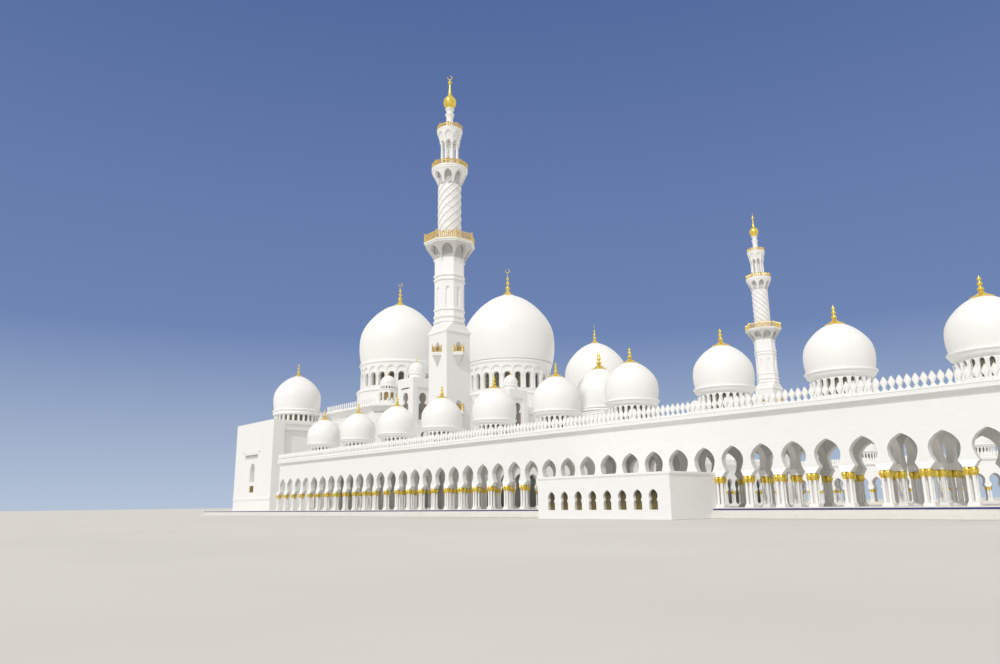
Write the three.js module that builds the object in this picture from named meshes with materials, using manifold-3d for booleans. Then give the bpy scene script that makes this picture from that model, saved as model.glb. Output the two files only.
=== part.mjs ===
// Courtyard mosque with marble domes, two tall minarets and arcaded wings,
// built as a scale model at 1:10.
//
// Every length below is written in metres of the full-size building and is
// turned into model millimetres by MM. The frame is +X east along the south
// front, +Y north, +Z up, with z = 0 on the ground line and the origin at the
// middle of the podium.

import * as THREE from "three";
import { mergeVertices } from "three/addons/utils/BufferGeometryUtils.js";
import Module from "manifold-3d";

const wasm = await Module();
wasm.setup();

// ---------------------------------------------------------------- dimensions
const MM = 100; // model millimetres for one metre of building: scale 1:10
const GAP = 0.004; // clearance between touching pieces
const XC = -120.6; // survey x of the model origin
const YC = 174.2; // survey y of the axis of symmetry

// podium
const POD_W = -228.8,
  POD_E = -12.4; // west and east edges
const POD_S = 84.9; // south edge of the stepped plinth
const FLOOR = 1.3; // arcade and hall floor above ground
const STEP_OUT = 0.7,
  STEP_H = 0.55; // lowest step of the plinth

// arcades
const BAY = 4.1084; // one arch
const ARCH0 = -138.89; // centre of arch number 0
const FIRST = -10,
  LAST = 30; // arches of the outer walls
const ARC_S = 86.0; // outer face of the south arcade
const ARC_N = 98.85; // courtyard face of the south arcade
const ARC_T = 0.9; // depth of one row of piers
const CROSS = 1.5; // cross arches stand this many bays to each side of a dome
const CROSS_PIERS = [90.2, 94.4]; // their inner piers
const WALL_TOP = 12.2; // underside of the cornice
const CORNICE_Z = 12.92,
  PARAPET_Z = 13.5; // fascia
const SLAB_Z = 13.05; // roof surface
const PIER = 0.99; // width of a pier at the columns
const DOME_Y = 92.79; // row of arcade domes
const DOME_X0 = -172.1,
  DOME_STEP = 16.434,
  DOMES = 10;

// minarets
const MIN_X = -133.36,
  MIN_Y = 102.86,
  MIN_W = 6.69;
const MIN_BASE = 40.9; // top of the square base
const MIN_G1 = 62.15,
  MIN_G2 = 81.35,
  MIN_G3 = 91.7; // gallery floors
const BALCONIES = [34.9, 21.8]; // underside of the balcony slabs

// prayer hall
const HALL_Z = 30.3; // roof
const HALL_WALL = 1.6;
const MAIN_X = -191.54; // line of the three great domes
const SIDE_DOME = 46.15; // offset of the two outer ones
const SIDE_R = 12.2,
  SIDE_RING = 44.2,
  SIDE_APEX = 64.2;
const MAIN_R = 16.15,
  MAIN_RING = 50.1,
  MAIN_APEX = 75.75;

// entrance portal and its dome
const PORTAL_X = -150.1,
  PORTAL_HALF = 8.6,
  PORTAL_Z = 28.4, // top of the parapet
  PORTAL_ROOF = 26.3,
  PORTAL_RING = 29.0;

// end blocks
const BLOCK_W = -227.6,
  BLOCK_E = -202.1,
  BLOCK_S = 93.0,
  BLOCK_N = 118.0,
  BLOCK_Z = 26.7;
const BDOME_X = -213.4,
  BDOME_Y = 105.4,
  BDOME_RING = 29.4;

// low entrance wing in front of the south arcade
const WING_W = -77.9,
  WING_E = -55.2,
  WING_S = 76.0,
  WING_Z = 5.75,
  WING_WALL = 0.5;
const WING_WINDOWS = [
  -75.24, -72.75, -70.2, -67.65, -65.1, -62.62, -60.15, -57.75,
];

// south face of the prayer hall, and the west end of its upper part
const HALL_S = 113.7,
  HALL_UP = -207.0;
// corner towers of the prayer hall
const TOWER_W = 6.9,
  TOWER_Z = 34.0,
  TOWER_X = -158.4,
  TOWERS = [111.4, 144.5];
const HALL_EAST = -161.9; // east wall of the hall
const TURRETS = [117.3, 138.8]; // small domed turrets beside an outer dome
const TURRET_X = -180.9;

// ------------------------------------------------------------------ helpers
function solid(g) {
  const s = g.index ? g : g.clone();
  s.deleteAttribute("normal");
  s.deleteAttribute("uv");
  const m = mergeVertices(s, 1e-4);
  return new wasm.Manifold(
    new wasm.Mesh({
      numProp: 3,
      vertProperties: m.attributes.position.array,
      triVerts: new Uint32Array(m.index.array),
    }),
  );
}

function place(g, ex, ey, ez, t) {
  // columns ex, ey, ez are the images of the geometry's own axes
  const m = new THREE.Matrix4().makeBasis(
    new THREE.Vector3(...ex),
    new THREE.Vector3(...ey),
    new THREE.Vector3(...ez),
  );
  m.setPosition(...t);
  return g.applyMatrix4(m);
}

function box(x0, x1, y0, y1, z0, z1) {
  const g = new THREE.BoxGeometry(x1 - x0, y1 - y0, z1 - z0);
  g.translate((x0 + x1) / 2, (y0 + y1) / 2, (z0 + z1) / 2);
  return solid(g);
}

function extrude(points, depth, holes = []) {
  const shape = new THREE.Shape(points.map((p) => new THREE.Vector2(...p)));
  for (const h of holes)
    shape.holes.push(new THREE.Path(h.map((p) => new THREE.Vector2(...p))));
  return new THREE.ExtrudeGeometry(shape, {
    depth,
    bevelEnabled: false,
    steps: 1,
  });
}

// outline in x,y carried up from z0 to z1
const up = (pts, z0, z1, holes) =>
  solid(extrude(pts, z1 - z0, holes).translate(0, 0, z0));
// outline in x,z carried from y0 to y1
const alongY = (pts, y0, y1, holes) =>
  solid(
    place(
      extrude(pts, y1 - y0, holes),
      [1, 0, 0],
      [0, 0, 1],
      [0, -1, 0],
      [0, y1, 0],
    ),
  );
// outline in y,z carried from x0 to x1
const alongX = (pts, x0, x1, holes) =>
  solid(
    place(
      extrude(pts, x1 - x0, holes),
      [0, 1, 0],
      [0, 0, 1],
      [1, 0, 0],
      [x0, 0, 0],
    ),
  );

// profile of [radius, z] turned about a vertical axis through x, y
function turn(profile, sides, x = 0, y = 0, phase = 0) {
  const g = new THREE.LatheGeometry(
    profile.map((p) => new THREE.Vector2(...p)),
    sides,
  );
  g.rotateX(Math.PI / 2);
  g.rotateZ(phase);
  g.translate(x, y, 0);
  const s = solid(g);
  return s.volume() < 0 ? solid(flip(g)) : s;
}
function flip(g) {
  const c = g.clone(),
    i = c.index.array;
  for (let k = 0; k < i.length; k += 3) [i[k + 1], i[k + 2]] = [i[k + 2], i[k + 1]];
  return c;
}

const group = new THREE.Group();
const MARBLE = new THREE.MeshStandardMaterial({
  color: 0xf4f4f2,
  roughness: 0.45,
});
const STONE = new THREE.MeshStandardMaterial({
  color: 0xe6e1d6,
  roughness: 0.6,
});
const GOLD = new THREE.MeshStandardMaterial({
  color: 0xd9a520,
  roughness: 0.3,
  metalness: 0.9,
});

function add(name, s, material = MARBLE, mirror = false) {
  const m = s.getMesh(),
    n = m.numProp;
  const pos = new Float32Array(m.numVert * 3);
  for (let i = 0; i < m.numVert; i++) {
    pos[3 * i] = (m.vertProperties[i * n] - XC) * MM;
    pos[3 * i + 1] =
      (m.vertProperties[i * n + 1] - YC) * MM * (mirror ? -1 : 1);
    pos[3 * i + 2] = m.vertProperties[i * n + 2] * MM;
  }
  const tri = new Uint32Array(m.triVerts);
  if (mirror)
    for (let k = 0; k < tri.length; k += 3)
      [tri[k + 1], tri[k + 2]] = [tri[k + 2], tri[k + 1]];
  const g = new THREE.BufferGeometry()
    .setAttribute("position", new THREE.BufferAttribute(pos, 3))
    .setIndex(new THREE.BufferAttribute(tri, 1));
  g.computeVertexNormals();
  const mesh = new THREE.Mesh(g, material);
  mesh.name = name;
  group.add(mesh);
}

// ---------------------------------------------------------------- openings
// half outline of one pointed horseshoe arch over a pier: [half width, z]
const HALF = (BAY - PIER) / 2;
const ARCH_FINE = [
  [HALF, 5.2],
  [1.1, 5.85],
  [1.53, 7.2],
  [1.0, 8.42],
];
const ARCH_PLAIN = [
  [1.2, 5.9],
  [1.5, 7.5],
];
const ARCH_TOP = 9.0;

// wall in x,z with a comb of arches from arch a to arch b, from z0 to z1
function comb(a, b, z1, half) {
  const centre = (k) => ARCH0 + k * BAY;
  const p = [];
  p.push([centre(a) - BAY / 2, FLOOR + GAP]);
  for (let k = a; k <= b; k++) {
    const c = centre(k);
    p.push([c - HALF, FLOOR + GAP]);
    for (const [w, z] of half) p.push([c - w, z]);
    p.push([c, ARCH_TOP]);
    for (const [w, z] of [...half].reverse()) p.push([c + w, z]);
    p.push([c + HALF, FLOOR + GAP]);
  }
  p.push([centre(b) + BAY / 2, FLOOR + GAP]);
  p.push([centre(b) + BAY / 2, z1]);
  p.push([centre(a) - BAY / 2, z1]);
  return p;
}

// keyhole outline: pointed horseshoe over a narrower slot
function keyhole(cx, z0, w, h) {
  const a = w / 2,
    n = w * 0.3;
  return [
    [cx - a * 0.86, z0],
    [cx + a * 0.86, z0],
    [cx + n, z0 + h * 0.53],
    [cx + a, z0 + h * 0.76],
    [cx, z0 + h],
    [cx - a, z0 + h * 0.76],
    [cx - n, z0 + h * 0.53],
  ];
}

// pointed window outline
function pointed(cx, z0, w, h) {
  const a = w / 2;
  return [
    [cx - a, z0],
    [cx + a, z0],
    [cx + a, z0 + h - w * 0.7],
    [cx, z0 + h],
    [cx - a, z0 + h - w * 0.7],
  ];
}

// ------------------------------------------------------------------ podium
{
  const s = POD_S,
    n = 2 * YC - POD_S;
  let p = box(POD_W, POD_E, s, n, 0, FLOOR);
  p = p.add(box(POD_W, POD_E, s - STEP_OUT, n + STEP_OUT, 0, STEP_H));
  // the low wing stands in a notch of the steps
  p = p.subtract(
    box(WING_W - GAP, WING_E + GAP, s - 2, s - GAP, -1, FLOOR + 1),
  );
  add("podium", p, STONE);
}

// ------------------------------------------------------- arcades, both sides
// the outer wall in four lengths, the courtyard wall and the roof in three:
// [name, first arch, last arch], and where each length of roof ends, in arches
const SEG = [
  ["west", FIRST, -1],
  ["mid_west", 0, 9],
  ["mid_east", 10, 19],
  ["east", 20, LAST],
];
const COURT_SEG = [
  ["west", 0, 9],
  ["middle", 10, 19],
  ["east", 20, LAST],
];
const ROOF_SEG = [
  ["west", FIRST - 0.5, 2],
  ["middle", 2, 18],
  ["east", 18, LAST + 0.5],
];
// trims a wall just short of the west end of arch a, clear of its neighbour
const clear = (w, k) =>
  w.subtract(box(ARCH0 + k * BAY - 1, ARCH0 + k * BAY + GAP, 80, 100, 0, 30));
for (const [side, mirror] of [
  ["south", false],
  ["north", true],
]) {
  for (const [name, a, b] of SEG) {
    let w = alongY(
      comb(a, b, WALL_TOP - GAP, mirror ? ARCH_PLAIN : ARCH_FINE),
      ARC_S,
      ARC_S + ARC_T,
    );
    if (a !== FIRST) w = clear(w, a - 0.5);
    add(`${side}_arcade_${name}`, w, MARBLE, mirror);
  }
  // courtyard row of piers
  for (const [name, a, b] of COURT_SEG)
    add(
      `${side}_court_arcade_${name}`,
      clear(alongY(comb(a, b, WALL_TOP - GAP, ARCH_PLAIN), ARC_N - ARC_T, ARC_N), a - 0.5),
      MARBLE,
      mirror,
    );
  // plain back wall beside the prayer hall
  add(
    `${side}_back_wall`,
    box(
      ARCH0 + (FIRST - 0.5) * BAY,
      ARCH0 - 0.5 * BAY,
      ARC_N - 0.9,
      ARC_N,
      FLOOR + GAP,
      WALL_TOP - GAP,
    ),
    MARBLE,
    mirror,
  );

  // roof with cornice, parapet, drums and hollow domes
  for (const [name, from, to] of ROOF_SEG) {
    const x0 = ARCH0 + from * BAY,
      x1 = ARCH0 + to * BAY;
    let roof = alongX(
      [
        [85.65, WALL_TOP],
        [ARC_N + 0.25, WALL_TOP],
        [ARC_N + 0.25, CORNICE_Z],
        [ARC_N + 0.6, CORNICE_Z],
        [ARC_N + 0.6, PARAPET_Z],
        [ARC_N - 0.1, PARAPET_Z],
        [ARC_N - 0.1, SLAB_Z],
        [86.1, SLAB_Z],
        [86.1, PARAPET_Z],
        [85.3, PARAPET_Z],
        [85.3, CORNICE_Z],
        [85.65, CORNICE_Z],
      ],
      x0,
      x1,
    );
    // cross arches under the roof, one row on each side of every dome
    const yi = ARC_S + ARC_T + GAP,
      yo = ARC_N - ARC_T - GAP,
      hp = PIER / 2;
    const feet = [[yi, yi], ...CROSS_PIERS.map((y) => [y - hp, y + hp]), [yo, yo]];
    const cross = [];
    for (let i = 0; i < 3; i++) {
      const a = feet[i][1],
        b = feet[i + 1][0],
        m = (a + b) / 2;
      if (i) cross.push([a, FLOOR + GAP]);
      cross.push([a, 7.3], [m, ARCH_TOP], [b, 7.3]);
      if (i < 2) cross.push([b, FLOOR + GAP]);
    }
    cross.push([yo, WALL_TOP + 0.2], [yi, WALL_TOP + 0.2]);
    for (let k = -8; k <= LAST; k += 4)
      for (const c of [k - CROSS, k + CROSS]) {
        if (c < from || c > to) continue;
        roof = roof.add(
          alongX(cross, ARCH0 + c * BAY - ARC_T / 2, ARCH0 + c * BAY + ARC_T / 2),
        );
      }
    for (let j = 0; j < DOMES; j++) {
      const x = DOME_X0 + j * DOME_STEP;
      if (x < x0 || x > x1) continue;
      roof = roof.add(
        turn(
          [
            [0, 12.4],
            [3.6, 12.4],
            [3.6, 16.8],
            [4.15, 17.2],
            [4.15, 19.4],
            [3.6, 21.45],
            [2.4, 22.8],
            [0, 23.98],
          ],
          12,
          x,
          DOME_Y,
        ),
      );
      roof = roof.subtract(
        turn(
          [
            [0, 11.5],
            [3.2, 11.5],
            [3.6, 19.3],
            [3.0, 21.3],
            [0, 23.2],
          ],
          12,
          x,
          DOME_Y,
        ),
      );
    }
    if (from > FIRST) roof = clear(roof, from);
    add(`${side}_arcade_roof_${name}`, roof, MARBLE, mirror);
  }

  // ---------------------------------------------------------------- minaret
  const min = (r, z, sides, phase) =>
    turn(
      [
        [0, z[0]],
        ...r.map((v, i) => [v, z[i]]),
        [0, z[z.length - 1]],
      ],
      sides,
      MIN_X,
      MIN_Y,
      phase,
    );
  const h = MIN_W / 2;
  const inner = h - 1.2;
  let base = box(MIN_X - h, MIN_X + h, MIN_Y - h, MIN_Y + h, FLOOR + GAP, MIN_BASE);
  // broached top from the square to the octagon
  const oct = (Math.PI / 8) * 1,
    k8 = 1 / Math.cos(Math.PI / 8);
  const tip = new THREE.CylinderGeometry(
    h * Math.SQRT2 * 0.8,
    h * Math.SQRT2,
    3.0,
    4,
    1,
  );
  tip.rotateX(Math.PI / 2);
  tip.rotateZ(Math.PI / 4);
  tip.translate(MIN_X, MIN_Y, MIN_BASE + 1.5);
  const broach = solid(tip).intersect(
    min([h * k8, h * k8], [MIN_BASE - 0.1, MIN_BASE + 1.75], 8, oct),
  );
  base = base.add(broach);
  base = base.add(
    box(
      MIN_X - h - 0.12,
      MIN_X + h + 0.12,
      MIN_Y - h - 0.12,
      MIN_Y + h + 0.12,
      MIN_BASE - 0.4,
      MIN_BASE,
    ),
  );
  for (const zb of BALCONIES)
    for (let q = 0; q < 4; q++) {
      // pointed balcony slab on an upturned pyramid
      const slab = new THREE.CylinderGeometry(1.6, 1.6, 0.75, 4, 1);
      slab.rotateX(Math.PI / 2);
      slab.translate(0, -h, zb + 0.375);
      const cone = new THREE.CylinderGeometry(1.5, 0.12, 2.3, 4, 1);
      cone.rotateX(Math.PI / 2);
      cone.translate(0, -h, zb - 1.1);
      for (const g of [slab, cone]) {
        g.rotateZ((q * Math.PI) / 2);
        g.translate(MIN_X, MIN_Y, 0);
        base = base.add(solid(g));
      }
    }
  base = base.subtract(
    box(MIN_X - inner, MIN_X + inner, MIN_Y - inner, MIN_Y + inner, 0, MIN_BASE - 1),
  );
  for (const zb of BALCONIES) {
    const d = pointed(0, zb + 0.75, 1.3, 2.4);
    for (const g of [
      alongY(
        d.map(([u, z]) => [u + MIN_X, z]),
        MIN_Y - h - 3,
        MIN_Y + h + 3,
      ),
      alongX(
        d.map(([u, z]) => [u + MIN_Y, z]),
        MIN_X - h - 3,
        MIN_X + h + 3,
      ),
    ])
      base = base.subtract(g);
  }
  add(`${side}_minaret_base`, base, MARBLE, mirror);

  // octagonal shaft and first gallery, then round shaft and second gallery
  const R8 = 3.3 * k8;
  let shaft = min(
    [
      R8, R8 * 1.07, R8 * 1.07, R8, R8, R8 * 1.05, R8 * 1.05, R8, R8 * 1.04,
      5.78 * k8, 5.78 * k8,
    ],
    [
      MIN_BASE + 1.75 + GAP, 42.9, 44.0, 44.3, 52.3, 52.6, 53.8, 54.1, 58.1,
      MIN_G1 - 0.9, MIN_G1,
    ],
    8,
    oct,
  );
  shaft = shaft.subtract(min([1.9, 1.9], [40, MIN_G1 - 1.2], 8, oct));
  shaft = shaft.add(
    min(
      [2.8, 2.8, 3.0, 4.35, 4.35],
      [MIN_G1 - 0.5, 77.3, 77.9, 80.5, MIN_G2],
      12,
    ),
  );
  shaft = shaft.subtract(min([1.8, 1.8], [MIN_G1 - 2, MIN_G2 - 1.2], 8, oct));
  add(`${side}_minaret_shaft`, shaft, MARBLE, mirror);

  let lantern = min(
    [2.4, 2.4, 0.7, 0.7],
    [MIN_G2 + GAP, MIN_G2 + 0.6, MIN_G2 + 0.6, 88.4],
    8,
    oct,
  );
  lantern = lantern.add(
    min(
      [2.3, 2.3, 3.1, 3.1, 1.1, 1.1, 0.7, 0.7, 0.95, 0.95, 0.7, 0.7],
      [88.2, 89.0, 90.9, MIN_G3, MIN_G3, 93.4, 93.9, 96.0, 96.3, 97.3, 97.6, 98.1],
      8,
      oct,
    ),
  );
  for (let q = 0; q < 8; q++) {
    const t = (q * Math.PI) / 4 + oct;
    lantern = lantern.add(
      turn(
        [
          [0, MIN_G2 + 0.5],
          [0.27, MIN_G2 + 0.5],
          [0.27, 88.4],
          [0, 88.4],
        ],
        4,
        MIN_X + 1.92 * Math.cos(t),
        MIN_Y + 1.92 * Math.sin(t),
      ),
    );
  }
  add(`${side}_minaret_lantern`, lantern, MARBLE, mirror);

  let finial = min(
    [0.6, 0.75, 1.2, 1.58, 1.58, 1.15, 0.45, 0.3, 0.16, 0.45, 0.45, 0.12],
    [
      98.1 + GAP, 98.25, 98.5, 99.1, 99.9, 100.6, 101.2, 103.0, 104.6, 104.85,
      105.15, 105.5,
    ],
    8,
  );
  // crescent
  const crescent = (() => {
    const pts = [];
    for (let i = 0; i <= 6; i++) {
      const t = -Math.PI / 2 - 2.35 + (i * 4.7) / 6;
      pts.push([0.72 * Math.cos(t), 106.55 + 0.72 * Math.sin(t)]);
    }
    for (let i = 6; i >= 0; i--) {
      const t = -Math.PI / 2 - 2.35 + (i * 4.7) / 6;
      pts.push([0.55 * Math.cos(t), 106.68 + 0.55 * Math.sin(t)]);
    }
    return alongX(
      pts.map(([u, z]) => [MIN_Y + u, z]),
      MIN_X - 0.12,
      MIN_X + 0.12,
    );
  })();
  finial = finial.add(crescent).add(min([0.12, 0.12], [105.4, 106.1], 8));
  add(`${side}_minaret_finial`, finial, GOLD, mirror);

  // gilded gallery railings
  for (const [n, r, z0, z1, sides, ph] of [
    ["lower", 5.53 * k8, MIN_G1, MIN_G1 + 2.3, 8, oct],
    ["middle", 4.15, MIN_G2, MIN_G2 + 1.6, 12, 0],
    ["upper", 2.9 * k8, MIN_G3, MIN_G3 + 1.3, 8, oct],
  ]) {
    const outer = min([r, r], [z0 + GAP, z1], sides, ph);
    add(
      `${side}_minaret_${n}_railing`,
      outer.subtract(min([r - 0.22, r - 0.22], [z0 - 1, z1 + 1], sides, ph)),
      GOLD,
      mirror,
    );
  }

  // ------------------------------------------------------------- end block
  {
    const t = 1.5;
    let b = box(BLOCK_W, BLOCK_E, BLOCK_S, BLOCK_N, FLOOR + GAP, BLOCK_Z);
    b = b.subtract(
      box(BLOCK_W + t, BLOCK_E - t, BLOCK_S + t, BLOCK_N - t, 0, BLOCK_Z - 1),
    );
    // stepped panel on the east face
    b = b.subtract(box(BLOCK_E - 0.25, BLOCK_E + 1, 96.4, 111, 15.2, 25.6));
    b = b.subtract(box(BLOCK_E - 0.85, BLOCK_E + 1, 96.4, 111, 15.2, 23.9));
    // pointed window and small window of the south face
    b = b.subtract(alongY(pointed(-214.6, 9.4, 3.0, 5.4), BLOCK_S - 1, BLOCK_S + 2));
    b = b.subtract(box(-216.3, -213.0, BLOCK_S - 1, BLOCK_S + 2, 6.4, 8.2));
    b = b.subtract(box(-220.4, -211.6, BLOCK_S - 1, BLOCK_S + 0.35, 16.2, 17.3));
    // drum and dome
    b = b.add(
      turn(
        [
          [0, BLOCK_Z - 0.5],
          [6.75, BLOCK_Z - 0.5],
          [6.75, BDOME_RING - 0.2],
          [7.1, BDOME_RING + 0.1],
          [7.1, 34.2],
          [6.15, 37.7],
          [4.1, 40.1],
          [0, 42.0],
        ],
        16,
        BDOME_X,
        BDOME_Y,
      ),
    );
    b = b.subtract(
      turn(
        [
          [0, BLOCK_Z - 2],
          [6.1, BLOCK_Z - 2],
          [6.35, 33.0],
          [5.55, 37.1],
          [3.45, 39.4],
          [0, 41.1],
        ],
        16,
        BDOME_X,
        BDOME_Y,
      ),
    );
    add(`${side}_end_block`, b, MARBLE, mirror);
  }

  // ------------------------------------------------- outer dome of the hall
  const yd = YC - SIDE_DOME;
  {
    // octagonal podium, drum with window openings
    let d = turn(
      [
        [0, HALL_Z + GAP],
        [12.6, HALL_Z + GAP],
        [12.6, 35.9],
        [11.55, 36.7],
        [11.45, 42.2],
        [12.1, 43.3],
        [12.1, SIDE_RING],
        [0, SIDE_RING],
      ],
      24,
      MAIN_X,
      yd,
    );
    d = d.subtract(
      turn(
        [
          [0, HALL_Z - 1],
          [10.6, HALL_Z - 1],
          [10.6, SIDE_RING + 1],
          [0, SIDE_RING + 1],
        ],
        24,
        MAIN_X,
        yd,
      ),
    );
    for (let i = 0; i < 12; i++) {
      const g = new THREE.BoxGeometry(30, 1.5, 3.6);
      g.translate(0, 0, 39.0);
      g.rotateZ(((i + 0.5) * Math.PI) / 12);
      g.translate(MAIN_X, yd, 0);
      d = d.subtract(solid(g));
    }
    add(`${side}_hall_drum`, d, MARBLE, mirror);
    add(
      `${side}_hall_dome`,
      greatDome(MAIN_X, yd, SIDE_R, SIDE_RING, SIDE_APEX),
      MARBLE,
      mirror,
    );
    add(
      `${side}_hall_finial`,
      finialOf(MAIN_X, yd, SIDE_APEX, 7.1, 1.75),
      GOLD,
      mirror,
    );
  }

  // ------------------------------------------- towers of the hall's east front
  TOWERS.forEach((y, i) => {
    const w = TOWER_W / 2;
    let t = box(TOWER_X - w, TOWER_X + w, y - w, y + w, FLOOR + GAP, TOWER_Z);
    t = t.add(
      box(TOWER_X - w, TOWER_X + w + 0.15, y - w - 0.15, y + w + 0.15, TOWER_Z - 0.6, TOWER_Z),
    );
    // the outer tower is carried back to the hall's east wall
    if (!i) t = t.add(box(TOWER_X - w, TOWER_X + w, y, 121, FLOOR + GAP, 29));
    t = t.add(
      turn(
        [
          [0, TOWER_Z - 0.5],
          [2.2, TOWER_Z - 0.5],
          [2.3, 36.6],
          [1.7, 38.1],
          [0, 38.9],
        ],
        12,
        TOWER_X,
        y,
      ),
    );
    t = t.subtract(
      box(TOWER_X - w + 1, TOWER_X + w - 1, y - w + 1, y + w - 1, 0, TOWER_Z - 1),
    );
    if (!i)
      t = t.subtract(box(TOWER_X - w + 1, TOWER_X + w - 1, y, 120, 0, 28));
    // keyhole recesses on the south and east faces
    t = t.subtract(
      alongY(keyhole(TOWER_X + 0.14, 24.1, 2.3, 6.2), y - w - 1, y - w + 0.4),
    );
    t = t.subtract(
      alongX(keyhole(y - 0.13, 24.1, 2.3, 6.1), TOWER_X + w - 0.4, TOWER_X + w + 1),
    );
    add(`${side}_hall_tower_${i ? "inner" : "outer"}`, t, MARBLE, mirror);
  });
}

// ------------------------------------------------------------- great domes
function greatDome(x, y, r, ring, apex) {
  const h = apex - ring;
  const shell = (z0, points) =>
    turn(
      [[0, z0], ...points.map(([a, b]) => [a * r, b === null ? z0 : ring + b * h])],
      24,
      x,
      y,
    );
  const outer = shell(ring + GAP, [
    [0.965, null],
    [1.0, 0.27],
    [0.985, 0.4],
    [0.871, 0.6],
    [0.6, 0.8],
    [0.3, 0.93],
    [0, 1],
  ]);
  const inner = shell(ring - 1, [
    [0.92, null],
    [0.93, 0.4],
    [0.79, 0.61],
    [0.5, 0.79],
    [0, 0.94],
  ]);
  return outer.subtract(inner);
}

function finialOf(x, y, apex, h, skirt) {
  // flared cap, three balls and a spike
  const z = (t) => apex + t * h;
  return turn(
    [
      [0, apex + GAP],
      [skirt * 0.35, apex + GAP],
      [skirt * 0.3, z(0.1)],
      [skirt * 0.2, z(0.14)],
      [skirt * 0.41, z(0.2)],
      [skirt * 0.14, z(0.28)],
      [skirt * 0.32, z(0.42)],
      [skirt * 0.1, z(0.5)],
      [skirt * 0.26, z(0.62)],
      [skirt * 0.06, z(0.72)],
      [0, z(1)],
    ],
    10,
    x,
    y,
  );
}

{
  let d = turn(
    [
      [0, HALL_Z + GAP],
      [16.4, HALL_Z + GAP],
      [16.4, 38.3],
      [14.5, 39.2],
      [14.3, 47.3],
      [15.2, 49.0],
      [15.25, MAIN_RING],
      [0, MAIN_RING],
    ],
    24,
    MAIN_X,
    YC,
  );
  d = d.subtract(
    turn(
      [
        [0, HALL_Z - 1],
        [13.4, HALL_Z - 1],
        [13.4, MAIN_RING + 1],
        [0, MAIN_RING + 1],
      ],
      24,
      MAIN_X,
      YC,
    ),
  );
  for (let i = 0; i < 12; i++) {
    const g = new THREE.BoxGeometry(38, 1.9, 5.2);
    g.translate(0, 0, 42.3);
    g.rotateZ(((i + 0.5) * Math.PI) / 12);
    g.translate(MAIN_X, YC, 0);
    d = d.subtract(solid(g));
  }
  add("main_drum", d);
  add("main_dome", greatDome(MAIN_X, YC, MAIN_R, MAIN_RING, MAIN_APEX));
  add(
    "main_finial",
    finialOf(MAIN_X, YC, MAIN_APEX, 9.65, 2.1),
    GOLD,
  );
}

// ------------------------------------------------------------- prayer hall
function hallOutline(o, x0) {
  // o moves every side outwards; x0 is the west end of the long sides; the plan
  // is symmetric about YC
  const s = [
    [x0, HALL_S - o],
    [-182.3 + 0.41 * o, HALL_S - o],
    [-177.0 + 0.41 * o, 119.0 - o],
    [HALL_EAST, 119.0 - o],
  ];
  const n = s.map(([x, y]) => [x, 2 * YC - y]).reverse();
  const w = [
    [x0, 2 * YC - BLOCK_N - GAP],
    [-222.0 - o, 2 * YC - BLOCK_N - GAP],
    [-222.0 - o, BLOCK_N + GAP],
    [x0, BLOCK_N + GAP],
  ];
  return [...s, ...n, ...w];
}
{
  const o = hallOutline(0, BLOCK_E + GAP);
  const t = HALL_WALL;
  const inner = (() => {
    const s = [
      [BLOCK_E + GAP + t, HALL_S + t],
      [-182.3 - 0.41 * t, HALL_S + t],
      [-177.0 - 0.41 * t, 119.0 + t],
      [HALL_EAST - t, 119.0 + t],
    ];
    const n = s.map(([x, y]) => [x, 2 * YC - y]).reverse();
    const w = [
      [BLOCK_E + GAP + t, 2 * YC - BLOCK_N - GAP - t],
      [-222.0 + t, 2 * YC - BLOCK_N - GAP - t],
      [-222.0 + t, BLOCK_N + GAP + t],
      [BLOCK_E + GAP + t, BLOCK_N + GAP + t],
    ];
    return [...s, ...n, ...w];
  })();
  let w = up(o, FLOOR + GAP, 29.2 - GAP, [inner]);
  // central portal and side doors towards the courtyard
  for (const [y, ww, hh] of [
    [YC, 6.0, 11.5],
    [YC - 12.5, 3.4, 7.2],
    [YC + 12.5, 3.4, 7.2],
  ])
    w = w.subtract(alongX(pointed(y, FLOOR - 1, ww, hh + 1), HALL_EAST - 2.5, HALL_EAST + 1));
  // windows of the south, north and west faces
  for (const x of [-198.0, -193.3, -188.6]) {
    w = w.subtract(alongY(keyhole(x, 17, 2.0, 6.4), HALL_S - 1, HALL_S + 3));
    w = w.subtract(
      alongY(keyhole(x, 17, 2.0, 6.4), 2 * YC - HALL_S - 3, 2 * YC - HALL_S + 1),
    );
  }
  for (let i = -4; i <= 4; i++) {
    if (!i) continue;
    w = w.subtract(alongX(keyhole(YC + i * 11.2, 17, 2.4, 7.6), -224, -220));
  }
  add("hall_walls", w);

  let r = up(hallOutline(0.8, HALL_UP - 0.8), 29.2, HALL_Z);
  // upper wall that carries the roof on over the end blocks
  r = r.add(box(HALL_UP, BLOCK_E, HALL_S, BLOCK_N, BLOCK_Z + GAP, 29.3));
  r = r.add(
    box(HALL_UP, BLOCK_E, 2 * YC - BLOCK_N, 2 * YC - HALL_S, BLOCK_Z + GAP, 29.3),
  );
  for (const [y, rad] of [
    [YC - SIDE_DOME, 10.4],
    [YC, 13.2],
    [YC + SIDE_DOME, 10.4],
  ])
    r = r.subtract(
      turn(
        [
          [0, 20],
          [rad, 20],
          [rad, 40],
          [0, 40],
        ],
        24,
        MAIN_X,
        y,
      ),
    );
  // small domed turrets on the roof beside the outer domes
  for (const y of [...TURRETS, ...TURRETS.map((v) => 2 * YC - v)])
    r = r.add(
      turn(
        [
          [0, HALL_Z - 0.5],
          [2.6, HALL_Z - 0.5],
          [2.6, 34.6],
          [2.2, 34.9],
          [2.3, 36.6],
          [1.7, 38.1],
          [0, 38.9],
        ],
        8,
        TURRET_X,
        y,
        Math.PI / 8,
      ),
    );
  add("hall_roof", r);
}

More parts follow.
